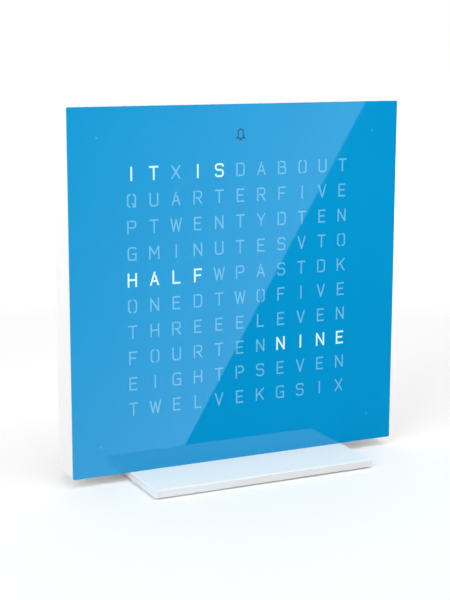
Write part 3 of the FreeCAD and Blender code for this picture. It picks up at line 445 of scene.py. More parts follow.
# %% [markdown]
# ## White plastics
# The case, the plates and the grid are all white, and only their gloss and their grain tell
# them apart. One white for all would look like paint. Spark-eroded mould textures are finer than
# a pixel here, so they are drawn a few times coarser than they are, to break up the light.

# %% Make the white plastics
# Cast opal acrylic: milky white, light sinks in a little way and softens its edges.
opal = surface("cast_opal_acrylic", "#F2F6F8", "#FAFCFD", 6.0, 0.32, 0.01,
               ior=1.49, sockets={"Subsurface Weight": 0.15, "Subsurface Radius": (0.002, 0.002, 0.002)})

# Moulded ABS: even, with a fine satin sheen.
case_white = surface("moulded_satin_abs", "#F7F8F8", "#FAFAFA", 3.0, 0.42, 0.008, ior=1.54)

# Moulded ABS with a finer, matter grain, which hides fingerprints at the back.
rear_white = surface("moulded_fine_grain_abs", "#F0F1F1", "#F5F5F5", 0.8, 0.5, 0.01, ior=1.54)

# Moulded ABS in light grey: it sets the buttons off from the cover.
button_grey = surface("moulded_grey_abs", "#C9CCCE", "#D4D6D8", 1.0, 0.38, 0.01, ior=1.54)

# Filled polycarbonate: chalky and matt, so that it spreads the lamps' light.
grid_white = surface("moulded_matt_polycarbonate", "#F3F3F1", "#F8F8F6", 2.0, 0.6, 0.006, ior=1.58)

# %% [markdown]
# ## Finishes of the base plate
# The plate is a clear acrylic, etched on its broad faces and sawn along its edges. Etching makes
# a face milky and takes its gloss away. Real glassy shaders would need many bounces to turn
# milky, so a pale body with a little subsurface light stands for it. The upright edges get less
# light, and they are given a greyer colour for it, which is painted shade; the saw also leaves
# fine lines along them.

# %% Make the base plate's finishes
# Etched acrylic: milky, without a clear reflection. Its faint green is a painted tint, which
# with the blue light thrown on it by the dial gives the plate a cool cyan cast.
frosted = surface("etched_acrylic", "#F6FDF8", "#FBFFFB", 1.2, 0.55, 0.01,
                  sockets={"Specular IOR Level": 0.15, "Subsurface Weight": 0.2,
                           "Subsurface Radius": (0.003, 0.003, 0.003)})

# Sawn acrylic: light grey, with lines along the cut. They are drawn 0.5 mm apart to show. The
# grey is partly painted shade, for upright edges that get less light.
sawn_and_shaded_edge = surface("sawn_acrylic_and_painted_shade", "#EAEBEC", "#F2F3F4", 0.5, 0.45, 0.02, ior=1.49,
                    relief_mm=0.5, uneven=0.0, stretch=(0.02, 0.02, 1))

# %% [markdown]
# ## Plastics and ceramics inside
# The pieces inside show when the front cover is pulled off or the back is opened. Electronic
# parts are moulded or fired for their use and not for their looks, so they are dull. One black
# would do for all from afar, but a repairer knows each kind by its own tone.

# %% Make the plastics and ceramics inside
# Solder mask: white enamel over glass fibre, slightly green and slightly wavy.
board_white = surface("white_solder_mask", "#E3E8E4", "#EEF2EE", 4.0, 0.35, 0.01, ior=1.55)
# Moulded nylon of a lamp's package: warm white with a soft shine.
lamp_body = surface("moulded_white_nylon", "#F3F1E9", "#FBFAF4", 0.6, 0.4, 0.005, ior=1.53)
# Transfer moulded epoxy: charcoal and dull, with a fine pitted skin.
chip_black = surface("moulded_black_epoxy", "#17181A", "#222326", 0.3, 0.55, 0.01, ior=1.55)
# Moulded nylon: black with a low satin sheen.
nylon_black = surface("moulded_black_nylon", "#1B1C1E", "#26272A", 0.6, 0.48, 0.012, ior=1.53)
# Fired ceramic: earthy tan and dry.
ceramic_tan = surface("fired_tan_ceramic", "#8F7355", "#A28463", 0.4, 0.5, 0.005)
# Cast silicone: cloudy grey-white and slightly soft in its highlights.
silicone = surface("cast_clear_silicone", "#D3D7D8", "#E2E5E6", 2.0, 0.5, 0.01, ior=1.41)
# Phosphor in silicone over a lamp that is off: egg yellow and smooth.
phosphor = surface("phosphor_filled_silicone", "#E8C94F", "#F0D563", 0.4, 0.35, 0.01, ior=1.41)

# %% [markdown]
# ## Metals
# Metals are told apart by their hue and by how sharp their reflections are. Both come from how
# they were worked: nickel plate is nearly a mirror, zinc plate and rolled foil are duller. A
# picture of real metal could be wrapped round each piece, but at this size a hue and a roughness
# tell as much. All keep the default IOR, because a metal's colour is its reflection.

# %% Make the metals
METAL = {"Metallic": 1.0}

# Zinc plate on turned steel: cool grey, a soft shine.
zinc = surface("zinc_plated_steel", "#A9ACAF", "#C3C6C8", 1.5, 0.3, 0.005, sockets=METAL)
# Tin plate on copper: pale, brighter than zinc and a little cloudy.
tin = surface("tin_plated_copper", "#C9CACB", "#DADBDC", 0.6, 0.28, 0.002, sockets=METAL)
# Nickel plate on a magnet: warm and nearly mirror bright.
nickel = surface("nickel_plated_magnet", "#C2BEB4", "#D3CFC6", 2.0, 0.16, 0.003, sockets=METAL)
# Pressed stainless steel: neutral, with a brushed blur.
cell_steel = surface("pressed_stainless_steel", "#BFC0BE", "#CFD0CE", 2.5, 0.26, 0.004, sockets=METAL)
# Rolled copper foil: reddish, with soft clouds where it has been handled.
copper = surface("rolled_copper_foil", "#C77E58", "#D98F66", 3.0, 0.3, 0.004, sockets=METAL)
# Rolled spring bronze: brownish gold.
bronze = surface("rolled_spring_bronze", "#B98B57", "#CB9C66", 2.0, 0.28, 0.003, sockets=METAL)
# Turned brass: yellow, with a bright cut surface.
brass = surface("turned_brass", "#C9A455", "#D8B567", 1.0, 0.25, 0.006, sockets=METAL)

# %% [markdown]
# ## Dress the pieces of the frame
# Most pieces already have their true shape, so they only need their finish. The base plate has
# two: its broad faces and their bevels are etched, and its upright edges are sawn. It could be
# cut in two for that, but each face can pick its finish by the way it faces.

# %% Give each piece its finish
FINISHES = (
    (film_blue, "face_film"), (opal, "face_plate"), (case_white, "case"), (rear_white, "rear_cover"),
    (grid_white, "light_grid"), (board_white, "lamp_board"), (lamp_body, "lamps"),
    (chip_black, "controller_chip driver_chips"), (cell_steel, "timing_crystal backup_cell"),
    (ceramic_tan, "capacitors"), (nickel, "cover_magnets case_magnets"), (tin, "socket_pin"),
    (nylon_black, "cell_holder alarm_buzzer power_socket button_switches"),
    (nylon_black, "plunger_minus plunger_set plunger_plus"), (copper, "touch_foil"),
    (button_grey, "button_minus button_set button_plus"), (bronze, "touch_contact"),
    (zinc, "board_screws rear_screws base_screws"), (brass, "base_inserts"), (frosted, "base"),
    (silicone, "base_pads"),
)
UPRIGHT = 0.5                  # a face whose normal has less rise than this counts as an edge

dressed = 0
for finish, names in FINISHES:
    for name in names.split():
        nodes[name].data.materials.clear()
        nodes[name].data.materials.append(finish)
        dressed += 1

base_mesh = nodes["base"].data
base_mesh.materials.append(sawn_and_shaded_edge)
# Upright faces take the sawn finish, whose greyer colour is partly painted shade.
for polygon in base_mesh.polygons:
    polygon.material_index = 1 if abs(polygon.normal.z) < UPRIGHT else 0
print("dressed", dressed, "pieces of", len(nodes))

# %% [markdown]
# ## Read the letters from the film
# The film is cut right through where its letters are. Its own mesh says where: the outline of a
# slot is made of the edges between the flat front and one wall. Reading them means that the
# letters never have to be drawn twice, and that each window fits its slot.

# %% Find the outlines of the slots
TOUCH = 1e-6
RIM_WIDTH = 2 * MM             # edges this near to the film's border belong to the border
FLAT = 0.5                     # a face whose normal points forwards less than this is a wall


def slot_outlines():
    """Give the film's slot outlines: each a pair of end points with its wall's direction."""
    work = bmesh.new()
    work.from_mesh(nodes["face_film"].data)
    bmesh.ops.remove_doubles(work, verts=work.verts, dist=TOUCH)
    work.normal_update()
    found = []
    for edge in work.edges:
        ends = tuple(vert.co.copy() for vert in edge.verts)
        if any(abs(end.y - DIAL_FRONT) > TOUCH for end in ends):
            continue
        walls = [face for face in edge.link_faces if abs(face.normal.y) < FLAT]
        middle = (ends[0] + ends[1]) / 2
        to_border = min(middle.x - film_low.x, film_high.x - middle.x,
                        middle.z - film_low.z, film_high.z - middle.z)
        if len(walls) == 1 and to_border > RIM_WIDTH:
            found.append((ends, walls[0].normal.copy()))
    work.free()
    return found


outlines = slot_outlines()
print("edges of slots:", len(outlines))

# %% [markdown]
# ## Sort the letters
# Eleven columns and ten rows of letters fill the dial. Each could be a piece of its own, but
# there are over a hundred windows and only four looks. So the lit words are listed by row and
# column, and every edge is sorted by the cell that it lies in. What lies outside the letters is
# the bell mark, if it is near the middle, or a corner dot.

# %% Sort the outlines
LIT_WORDS = {0: (0, 1, 3, 4), 4: (0, 1, 2, 3), 7: (7, 8, 9, 10)}
COLUMNS, ROWS = 11, 10
COLUMN_PITCH, ROW_PITCH = 8.7 * MM, 9.65 * MM
DIAL_MIDDLE = (film_low.z + film_high.z) / 2


def cell_of(point):
    """The row and column of the dial cell that a point lies in, or None outside the letters."""
    column = round(point.x / COLUMN_PITCH + (COLUMNS - 1) / 2)
    row = round((ROWS - 1) / 2 - (point.z - DIAL_MIDDLE) / ROW_PITCH)
    inside = 0 <= column < COLUMNS and 0 <= row < ROWS
    return (row, column) if inside else None


def is_lit(cell):
    return cell is not None and cell[1] in LIT_WORDS.get(cell[0], ())


windows = {"lit": [], "unlit": [], "mark": [], "dots": []}
for ends, wall in outlines:
    middle = (ends[0] + ends[1]) / 2
    cell = cell_of(middle)
    if cell is not None:
        kind = "lit" if is_lit(cell) else "unlit"
    else:
        kind = "mark" if abs(middle.x) < COLUMN_PITCH else "dots"
    windows[kind].append((ends, wall))
print({kind: len(edges) for kind, edges in windows.items()})

# %% [markdown]
# ## From a flat shape to an object
# Windows and button marks are thin layers, drawn flat and then raised. Solidify could thicken
# them, but it leaves a modifier to apply on each. A short helper extrudes them at once, and a
# second one puts any finished mesh into the scene, with its faces turned outwards.


# %% Helpers that raise a shape and keep it
def raise_faces(work, way):
    """Extrude all faces of a flat shape into a solid."""
    raised = bmesh.ops.extrude_face_region(work, geom=work.faces[:])
    moved = [item for item in raised["geom"] if isinstance(item, bmesh.types.BMVert)]
    bmesh.ops.translate(work, verts=moved, vec=way)


def put(name, work):
    """Turn a bmesh into an object of the scene with all its faces pointing outwards."""
    bmesh.ops.recalc_face_normals(work, faces=work.faces[:])
    mesh = bpy.data.meshes.new(name)
    work.to_mesh(mesh)
    work.free()
    made = bpy.data.objects.new(name, mesh)
    bpy.context.collection.objects.link(made)
    return made


# %% [markdown]
# ## Fill the letters
# Each outline is filled to a thin plate. Text could be laid in the slots instead, but no font
# would fit them. Growing an outline by part of a millimetre gives the halo of a lit letter. A
# corner moves along the mean of its two walls, and a limit keeps sharp ones from shooting out.

# %% Helper that fills outlines
MITRE_LIMIT = 0.4
CORNER_DIGITS = 7              # ends that agree to a tenth of a micrometre are one corner


def corner_key(point):
    return round(point.x, CORNER_DIGITS), round(point.z, CORNER_DIGITS)


def fill_windows(name, edges, grow, front, thick, finish):
    """Fill outlines into plates, grown sideways and standing proud of the film, all in mm."""
    work = bmesh.new()
    corners, walls = {}, {}
    for ends, wall in edges:
        for point in ends:
            key = corner_key(point)
            corners.setdefault(key, point)
            walls.setdefault(key, []).append(wall)
    made = {}
    for key, point in corners.items():
        first, last = walls[key][0], walls[key][-1]
        spot = point - (first + last) / max(1 + first.dot(last), MITRE_LIMIT) * (grow * MM)
        made[key] = work.verts.new((spot.x, DIAL_FRONT - front * MM, spot.z))
    sides = []
    for ends, wall in edges:
        pair = [made[corner_key(point)] for point in ends]
        if pair[0] is not pair[1] and work.edges.get(pair) is None:
            sides.append(work.edges.new(pair))
    bmesh.ops.triangle_fill(work, edges=sides, use_beauty=True, use_dissolve=False)
    raise_faces(work, (0, thick * MM, 0))
    piece = put(name, work)
    piece.data.materials.append(finish)
    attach(piece, "front_cover")
    print(name, len(piece.data.polygons), "faces")


print("a corner moves by at most", round(math.sqrt(2 / MITRE_LIMIT), 2), "times the growth")

# %% [markdown]
# ## The windows of the dial
# Lit letters stand a hair proud, over their wider rims, so that the white always covers the
# middle of the halo. Letters that are off lie level with the film and shrink by a hair, which
# keeps the two surfaces from flickering through each other. The bell is printed, so it is only
# a thin layer, and it covers the slot that marks its outline.

# %% Fill all windows
PLATE, LAYER = 0.25, 0.1                               # mm thick
LIT_PROUD, RIM_PROUD, INK_PROUD = 0.03, 0.015, 0.01    # mm in front of the film
RIM_GROWTH, INK_GROWTH, SHRINK = 0.14, 0.06, -0.005    # mm of growth sideways

fill_windows("lit_letters", windows["lit"], 0.0, LIT_PROUD, PLATE, lit_white)
fill_windows("lit_letter_rims", windows["lit"], RIM_GROWTH, RIM_PROUD, LAYER, lit_rim)
fill_windows("unlit_letters", windows["unlit"], SHRINK, 0.0, PLATE, unlit_pale)
fill_windows("corner_dots", windows["dots"], SHRINK, 0.0, PLATE, dot_shade)
fill_windows("bell_mark", windows["mark"], INK_GROWTH, INK_PROUD, LAYER, mark_ink)

# %% [markdown]
# ## Where the small pieces sit
# Screws, lamps and pads come in sets. Their places could be typed in, but they would be wrong
# as soon as the construction changes. The frame holds each set as one mesh, so its separate
# solids are told apart by walking along their edges. Their boxes give place and size to the
# finer pieces that follow.

# %% Find the separate solids of a set
SORT_DIGITS = 5


def solids_of(name):
    """Give the low and high corner of each separate solid, from below, left to right."""
    work = bmesh.new()
    work.from_mesh(nodes[name].data)
    bmesh.ops.remove_doubles(work, verts=work.verts, dist=TOUCH)
    left, boxes = set(work.verts), []
    while left:
        waiting, reached = [left.pop()], []
        while waiting:
            vert = waiting.pop()
            reached.append(vert.co.copy())
            near = {edge.other_vert(vert) for edge in vert.link_edges} & left
            left -= near
            waiting.extend(near)
        boxes.append(tuple(Vector(pick(point[axis] for point in reached) for axis in range(3))
                           for pick in (min, max)))
    work.free()
    return sorted(boxes, key=lambda box: [round(box[0][axis], SORT_DIGITS) for axis in (2, 0, 1)])


print("lamps found:", len(solids_of("lamps")))

# %% [markdown]
# ## One node group for all sets
# A loop could copy a piece to each place, but it would have to turn and size every copy itself.
# Geometry Nodes does that wherever a cloud of points lies, and each point carries a size and the
# way that its piece faces. So one cloud holds the leads on all sides of the chips, and the small
# lamps of the corner dots come from the same piece as the others. Screws are also turned at
# random about their axis, as no hand leaves them lined up, by the same turns on each run.

# %% Build the repeating node group
GROUP_INPUTS = (("Places", "Geometry"), ("Piece", "Object"), ("Finish", "Material"),
                ("Turn", "Float"), ("Seed", "Int"))
RANDOM_MAX, RANDOM_VALUE = 3, 1      # the float sockets of the random node


def build_repeater():
    group = bpy.data.node_groups.new("repeat_piece", "GeometryNodeTree")
    for name, kind in GROUP_INPUTS:
        group.interface.new_socket(name, in_out="INPUT", socket_type="NodeSocket" + kind)
    group.interface.new_socket("Pieces", in_out="OUTPUT", socket_type="NodeSocketGeometry")
    given = add(group, "NodeGroupInput").outputs
    piece = add(group, "GeometryNodeObjectInfo", {"Object": given["Piece"], "As Instance": True})
    way = add(group, "GeometryNodeInputNamedAttribute", {"Name": "facing"}, data_type="FLOAT_VECTOR")
    size = add(group, "GeometryNodeInputNamedAttribute", {"Name": "size"}, data_type="FLOAT")
    facing = add(group, "FunctionNodeAlignRotationToVector", {"Vector": way.outputs["Attribute"]},
                 axis="Z")
    angle = add(group, "FunctionNodeRandomValue", {RANDOM_MAX: given["Turn"], "Seed": given["Seed"]},
                data_type="FLOAT")
    spin = add(group, "FunctionNodeAxisAngleToRotation",
               {"Axis": (0, 0, 1), "Angle": angle.outputs[RANDOM_VALUE]})
    turned = add(group, "FunctionNodeRotateRotation",
                 {"Rotation": facing.outputs["Rotation"], "Rotate By": spin.outputs["Rotation"]},
                 rotation_space="LOCAL")
    laid = add(group, "GeometryNodeInstanceOnPoints",
               {"Points": given["Places"], "Instance": piece.outputs["Geometry"],
                "Rotation": turned.outputs["Rotation"], "Scale": size.outputs["Attribute"]})
    real = add(group, "GeometryNodeRealizeInstances", {"Geometry": laid.outputs["Instances"]})
    painted = add(group, "GeometryNodeSetMaterial", {"Geometry": real.outputs["Geometry"],
                                                     "Material": given["Finish"]})
    add(group, "NodeGroupOutput", {"Pieces": painted.outputs["Geometry"]})
    return group


REPEATER = build_repeater()
print("inputs of the group:", [name for name, kind in GROUP_INPUTS])

# %% [markdown]
# ## From points to one mesh
# The points become an object whose modifier runs the group. Left live, the copies would be
# instances, which other programs often drop. So the result is turned into a plain mesh at once,
# the modifier goes, and the set rides on the clock as one piece.

# %% Helper that repeats a piece
SEED = 7


def baked(made):
    """The mesh of an object with its modifiers worked out."""
    ready = made.evaluated_get(bpy.context.evaluated_depsgraph_get())
    return bpy.data.meshes.new_from_object(ready)


def repeat(name, piece, finish, spots, turn=0.0):
    """Put a piece on each (place, facing, size) so that its Z axis faces that way, as one mesh."""
    cloud = flat_piece(name, [place for place, facing, size in spots], [])
    ways = cloud.data.attributes.new("facing", "FLOAT_VECTOR", "POINT")
    ways.data.foreach_set("vector", [part for place, facing, size in spots for part in facing])
    sizes = cloud.data.attributes.new("size", "FLOAT", "POINT")
    sizes.data.foreach_set("value", [size for place, facing, size in spots])
    modifier = cloud.modifiers.new("repeat", "NODES")
    modifier.node_group = REPEATER
    given = {"Piece": piece, "Finish": finish, "Turn": turn, "Seed": SEED}
    for item in REPEATER.interface.items_tree:
        if item.name in given:
            modifier[item.identifier] = given[item.name]
    mesh = baked(cloud)
    cloud.modifiers.remove(modifier)
    cloud.data = mesh
    bpy.data.objects.remove(piece)
    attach(cloud, "clock")
    print(name, len(spots), "times,", len(mesh.polygons), "faces")
    return cloud


print("random turns come from seed", SEED)

# %% [markdown]
# ## Turned pieces
# Screws and pads are round about an axis, as if they came off a lathe. The Screw modifier could
# spin them, but joining ring to ring closes the tips cleanly and serves for a lamp's cup as
# well. Soft edges are shaded smooth and hard ones stay sharp.

# %% Helpers that join and spin
SHARP_ANGLE = math.radians(25)
SPIN_STEPS = 40


def smoothed(made):
    made.data.shade_smooth()
    made.data.set_sharp_from_angle(angle=SHARP_ANGLE)
    return made


def circle(radius, count, height=0.0):
    """Points of a circle in mm, one after the other."""
    turns = [math.tau * step / count for step in range(count)]
    return [(radius * math.cos(turn), radius * math.sin(turn), height) for turn in turns]


def ring(work, points):
    """Add points in mm as vertices."""
    return [work.verts.new(Vector(point) * MM) for point in points]


def join(work, first, second):
    """Join two rings with a wall. A ring of one vertex gives a cone's tip."""
    steps = max(len(first), len(second))
    for step in range(steps):
        after = (step + 1) % steps
        around = [first[step % len(first)], second[step % len(second)],
                  second[after % len(second)], first[after % len(first)]]
        work.faces.new(list(dict.fromkeys(around)))


def spun(name, profile, steps=SPIN_STEPS):
    """Spin (radius, height) pairs in mm about the Z axis, from the top of the piece down."""
    work = bmesh.new()
    rings = [ring(work, circle(radius, steps if radius else 1, height)) for radius, height in profile]
    for upper, lower in zip(rings, rings[1:]):
        join(work, upper, lower)
    return smoothed(put(name, work))


print("a round piece has", SPIN_STEPS, "facets")

# %% [markdown]
# ## A punch for the crosses
# The cross of a screw head is struck into it with a tapered punch. A dark cross could be
# coloured on the head, but it would look flat as soon as light falls across it. So the shape of
# the punch is taken out of the blank, much as it is made.

# %% Helper that punches a cross
PUNCH_TAPER, PUNCH_ABOVE = 0.55, 0.2


def punch(target, width, reach, depth):
    """Cut a tapered cross into the top of a piece, all in mm."""
    half = width / 2
    quarter = [(half, half), (half, reach), (-half, reach)]
    plan = []
    for turn in range(4):
        plan += quarter
        quarter = [(-y, x) for x, y in quarter]
    work = bmesh.new()
    top = ring(work, [(x, y, PUNCH_ABOVE) for x, y in plan])
    bottom = ring(work, [(x * PUNCH_TAPER, y * PUNCH_TAPER, -depth) for x, y in plan])
    work.faces.new(top)
    work.faces.new(bottom)
    join(work, top, bottom)
    cutter = put("cross_punch", work)
    modifier = target.modifiers.new("punch", "BOOLEAN")
    modifier.operation = "DIFFERENCE"
    modifier.object = cutter
    mesh = baked(target)
    target.modifiers.remove(modifier)
    target.data = mesh
    bpy.data.objects.remove(cutter)
    return smoothed(target)


print("the punch narrows to", PUNCH_TAPER, "of its width")

# %% [markdown]
# ## Screws
# Small pan head screws hold the board and the rear cover, and two countersunk ones hold the
# base plate. Head and shank fill the room that the frame gives them. The thread is a stack of
# rings rather than a helix, which looks the same at this size.

# %% Make the screws
THREAD_PITCH = 0.5
THREAD_DEPTH = 0.16
PAN_HEAD, PAN_THICK, PAN_SHANK = 4.5, 1.4, 2.5
PAN_ROUND = ((0.7, 0), (0.3, 0.1), (0.08, 0.32), (0, 0.6))     # in from the rim and down
PAN_CROSS = (0.55, 1.25, 0.85)                 # width, reach and depth of the cross
SUNK_HEAD, SUNK_LAND, SUNK_SHANK = 5.8, 0.1, 3.0
SUNK_CROSS = (0.75, 1.6, 1.1)


def thread(radius, top, bottom):
    """Profile of a threaded shank down to its blunt point."""
    profile, height, point = [], top, bottom + radius / 2
    while height - THREAD_PITCH > point:
        profile.append((radius, height - THREAD_PITCH / 4))
        profile.append((radius - THREAD_DEPTH, height - THREAD_PITCH * 3 / 4))
        height -= THREAD_PITCH
    return profile + [(radius - THREAD_DEPTH, point), (radius / 2, bottom), (0, bottom)]


def pan_screw(length):
    """A pan head screw whose crown lies at the origin and faces up."""
    rim, shank = PAN_HEAD / 2, PAN_SHANK / 2
    crown = [(0, 0)] + [(rim - inward, -down) for inward, down in PAN_ROUND]
    seat = [(rim, -PAN_THICK), (shank, -PAN_THICK)]
    blank = spun("pan_screw", crown + seat + thread(shank, -PAN_THICK, -length))
    return punch(blank, *PAN_CROSS)


def sunk_screw(length):
    """A countersunk screw of the same kind."""
    rim, shank = SUNK_HEAD / 2, SUNK_SHANK / 2
    neck = shank - rim - SUNK_LAND
    crown = [(0, 0), (rim - SUNK_LAND, 0), (rim, -SUNK_LAND), (shank, neck)]
    blank = spun("sunk_screw", crown + thread(shank, neck, -length))
    return punch(blank, *SUNK_CROSS)


print("a screw has", round(1 / THREAD_PITCH), "threads in each mm")

# %% [markdown]
# ## The screws in their places
# The frame has plain screws. Detailed ones could be laid over them, but the plain heads would
# fill the crosses. So each set is replaced by as many detailed ones, with their crowns in the
# same places. Board screws face the front, rear screws the back, and base screws the ground.

# %% Lay the screws
FRONT, BACK, DOWN = (0, -1, 0), (0, 1, 0), (0, 0, -1)
SCREW_SETS = (("board_screws", pan_screw, FRONT), ("rear_screws", pan_screw, BACK),
              ("base_screws", sunk_screw, DOWN))


def crown_of(low, high, facing):
    """The middle of the side of a box that faces a way."""
    reach = (high - low) / 2
    return (low + high) / 2 + Vector(part * reach[axis] for axis, part in enumerate(facing))


for name, make, facing in SCREW_SETS:
    boxes = solids_of(name)
    length = abs((boxes[0][1] - boxes[0][0]).dot(Vector(facing))) / MM
    spots = [(crown_of(low, high, facing), facing, 1.0) for low, high in boxes]
    screws = repeat("cross_" + name, make(length), zinc, spots, turn=math.tau)
    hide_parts(name)

# %% [markdown]
# ## Pads under the base
# Four clear pads keep the plate from sliding. A plain disc would do from the side, but from
# below one sees the shallow cup in its face, which is what makes such a pad grip. So the pad is
# spun from a profile with that cup and a rounded rim.

# %% Lay the pads
PAD_CUP = ((0, 0.12), (0.6, 0.12), (0.68, 0.03), (0.78, 0))    # share of the radius, mm down
PAD_RIM = ((0.35, 0), (0.1, 0.1), (0, 0.35))                   # mm in from the rim, mm down

boxes = solids_of("base_pads")
low, high = boxes[0]
radius, thick = (high.x - low.x) / 2 / MM, (high.z - low.z) / MM
pad_profile = [(radius * share, -down) for share, down in PAD_CUP]
pad_profile += [(radius - inward, -down) for inward, down in PAD_RIM]
pad_profile += [(radius, -thick), (0, -thick)]
pads = repeat("cupped_pads", spun("pad", pad_profile), silicone,
              [(crown_of(low, high, DOWN), DOWN, 1.0) for low, high in boxes])
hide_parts("base_pads")

# %% [markdown]
# ## Lamps on the board
# Behind each window of the dial sits one lamp: a white package with a round cup, filled with
# phosphor. A yellow dot on a box would do from afar, but with the cover off the cup's depth
# shows. Its wall is tapered, so that it throws its light forwards into its cell of the grid.

# %% Make a lamp
MOUTH, WELL, CUP_DEPTH = 1.12, 0.92, 0.32
FILL_GAP, FILL_INSET = 0.01, 0.06      # from the fill to the cup, at the floor and at the mouth
FILL_SHARE = 0.6                       # share of the mouth where the fill starts to dip
FILL_SINK = (0.05, 0.07, 0.12)         # below the mouth in the middle, at the dip, at the edge
LAMP_STEPS = 24


def lamp_package(width, height, thick):
    """A box with a tapered round cup in its face, which lies at the origin and faces up."""
    work = bmesh.new()
    plan = [(side * width / 2, end * height / 2) for side, end in ((-1, -1), (1, -1), (1, 1), (-1, 1))]
    top = ring(work, [(x, y, 0) for x, y in plan])
    bottom = ring(work, [(x, y, -thick) for x, y in plan])
    mouth = ring(work, circle(MOUTH, LAMP_STEPS))
    well = ring(work, circle(WELL, LAMP_STEPS, -CUP_DEPTH))
    join(work, top, bottom)
    join(work, mouth, well)
    work.faces.new(bottom)
    work.faces.new(well)
    around = [edge for edge in work.edges if all(vert in top or vert in mouth for vert in edge.verts)]
    bmesh.ops.triangle_fill(work, edges=around, use_beauty=True)
    return smoothed(put("lamp_package", work))


def lamp_fill():
    """The phosphor that fills the cup to just below its mouth."""
    floor = FILL_GAP - CUP_DEPTH
    middle, dip, edge = FILL_SINK
    profile = [(0, -middle), (MOUTH * FILL_SHARE, -dip), (MOUTH - FILL_INSET, -edge),
               (WELL - FILL_GAP, floor), (0, floor)]
    return spun("lamp_fill", profile, LAMP_STEPS)


print("a lamp's cup is", 2 * MOUTH, "mm wide")

# %% [markdown]
# ## Light the lamps
# The lamps of the lit words glow, which shows through the cells of the grid when the front
# cover is pulled off. Real lights there would only bring noise, so the phosphor glows by itself.
# The lamps of the corner dots are smaller copies of the same piece.

# %% Lay the lamps
boxes = solids_of("lamps")
widest = max((high - low for low, high in boxes), key=lambda reach: reach.x)
lamp_spots = {"all": [], "dark": [], "lit": []}
for low, high in boxes:
    spot = (crown_of(low, high, FRONT), FRONT, (high.x - low.x) / widest.x)
    lamp_spots["all"].append(spot)
    lamp_spots["lit" if is_lit(cell_of(spot[0])) else "dark"].append(spot)

package = lamp_package(widest.x / MM, widest.z / MM, widest.y / MM)
packages = repeat("lamp_packages", package, lamp_body, lamp_spots["all"])
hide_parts("lamps")
repeat("lamp_fills", lamp_fill(), phosphor, lamp_spots["dark"])
repeat("lit_lamp_fills", lamp_fill(), phosphor_lit, lamp_spots["lit"])

# %% [markdown]
# ## Leads of the chips
# A chip is soldered by bent metal leads, called gull wings: out from the body, down, and out
# again on the board. Plain pins could stand for them, but the bend is what catches the light. So
# a lead is drawn as its side view and given a width, and it is repeated along all four sides of
# the controller and along two sides of each driver.

# %% Lay the leads
LEAD_SIDE = ((0, 0.55), (0.38, 0.55), (0.60, 0.15), (1.0, 0.15),      # mm out and mm off the board
             (1.0, 0), (0.50, 0), (0.28, 0.40), (0, 0.40))
LEAD_WIDTH = 0.42
CONTROLLER_ROW, DRIVER_ROW = (8, 1.0), (5, 1.1)                       # leads on a side, pitch in mm
LEFT, RIGHT, UP = (-1, 0, 0), (1, 0, 0), (0, 0, 1)


def chip_lead():
    """A bent lead that runs out along Z and stands on a board that faces Y."""
    work = bmesh.new()
    near, far = (ring(work, [(side * LEAD_WIDTH / 2, up, out) for out, up in LEAD_SIDE])
                 for side in (-1, 1))
    work.faces.new(near)
    work.faces.new(far)
    join(work, near, far)
    return put("chip_lead", work)


def lead_spots(low, high, facing, count, pitch):
    """Spots along the foot of one side of a chip that lies on a board."""
    along = Vector(UP if facing[0] else RIGHT)
    foot = crown_of(low, high, facing)
    foot.y = low.y
    steps = [pitch * MM * (number - (count - 1) / 2) for number in range(count)]
    return [(foot + along * step, facing, 1.0) for step in steps]


spots = []
for side in (LEFT, RIGHT, UP, DOWN):
    spots += lead_spots(*solids_of("controller_chip")[0], side, *CONTROLLER_ROW)
for low, high in solids_of("driver_chips"):
    for side in (UP, DOWN):
        spots += lead_spots(low, high, side, *DRIVER_ROW)
repeat("chip_leads", chip_lead(), tin, spots)

# %% [markdown]
# ## Ends of the capacitors
# A ceramic capacitor has a tinned cap at each end, by which it is soldered. A band of colour
# could show it, but the real cap wraps the body and stands proud of it. So it is a block a hair
# larger than the body, with softened edges.

# %% Lay the capacitor ends
CAP_LENGTH, CAP_PROUD, CAP_SOFT = 0.42, 0.01, 0.06


def end_cap(width, depth):
    """A soft-edged block below the origin, which lies in its outer face."""
    work = bmesh.new()
    bmesh.ops.create_cube(work, size=MM)
    span = Vector((width + 2 * CAP_PROUD, depth + 2 * CAP_PROUD, CAP_LENGTH))
    bmesh.ops.scale(work, vec=span, verts=work.verts)
    bmesh.ops.translate(work, vec=(0, 0, -CAP_LENGTH * MM / 2), verts=work.verts)
    bmesh.ops.bevel(work, geom=work.edges[:], offset=CAP_SOFT * MM, segments=2, affect="EDGES")
    return smoothed(put("end_cap", work))


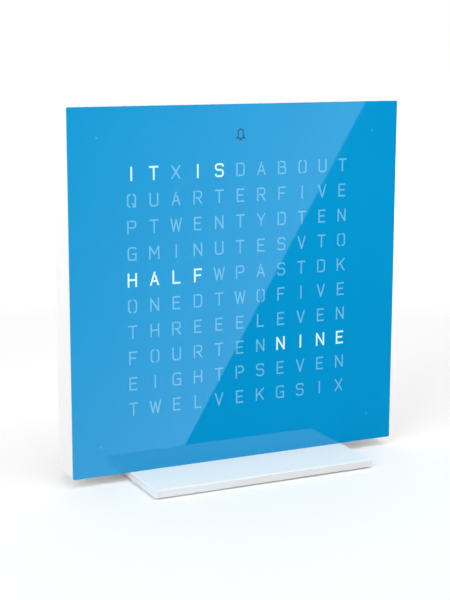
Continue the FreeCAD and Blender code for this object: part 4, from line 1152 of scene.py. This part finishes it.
boxes = solids_of("capacitors")
reach = (boxes[0][1] - boxes[0][0]) / MM
lift = Vector((0, CAP_PROUD, CAP_PROUD)) * MM
spots = [(crown_of(low, high, side) + Vector((0, lift.y, side[2] * lift.z)), side, 1.0)
         for low, high in boxes for side in (UP, DOWN)]
repeat("capacitor_ends", end_cap(reach.x, reach.y), tin, spots)

# %% [markdown]
# ## Marks on the rear buttons
# Three buttons at the back set the time: less, set and more. Each cap has its mark printed on
# it, a bar, a ring and a cross. The cap's own faces are too large to be coloured in that shape.
# So a mark is drawn flat, raised by the thickness of the ink, and laid on its cap. It rides on
# its button and goes in with it.

# %% Print the button marks
MARK_REACH, MARK_WIDTH, INK_THICK = 1.5, 0.45, 0.05
RING_REACH = 1.125


def bar(work, x_low, x_high, y_low, y_high):
    """Add a flat bar, in mm."""
    corners = [(x_low, y_low, 0), (x_high, y_low, 0), (x_high, y_high, 0), (x_low, y_high, 0)]
    work.faces.new(ring(work, corners))


def draw_mark(work, shape):
    """Draw a ring, or a bar or cross out of short bars that meet edge to edge."""
    half = MARK_WIDTH / 2
    if shape == "ring":
        outer = ring(work, circle(RING_REACH, SPIN_STEPS))
        join(work, outer, ring(work, circle(RING_REACH - MARK_WIDTH, SPIN_STEPS)))
        return
    bar(work, -MARK_REACH, -half, -half, half)
    bar(work, -half, half, -half, half)
    bar(work, half, MARK_REACH, -half, half)
    if shape == "cross":
        bar(work, -half, half, half, MARK_REACH)
        bar(work, -half, half, -MARK_REACH, -half)


for name, shape in (("minus", "bar"), ("set", "ring"), ("plus", "cross")):
    work = bmesh.new()
    draw_mark(work, shape)
    bmesh.ops.remove_doubles(work, verts=work.verts, dist=TOUCH)
    raise_faces(work, (0, 0, INK_THICK * MM))
    mark = put(name + "_mark", work)
    low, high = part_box("button_" + name)
    place = Matrix.Translation(crown_of(low, high, BACK))
    mark.data.transform(place @ Matrix.Rotation(-math.pi / 2, 4, "X"))
    mark.data.materials.append(mark_ink)
    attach(mark, name + "_button")
    print(mark.name, len(mark.data.polygons), "faces")
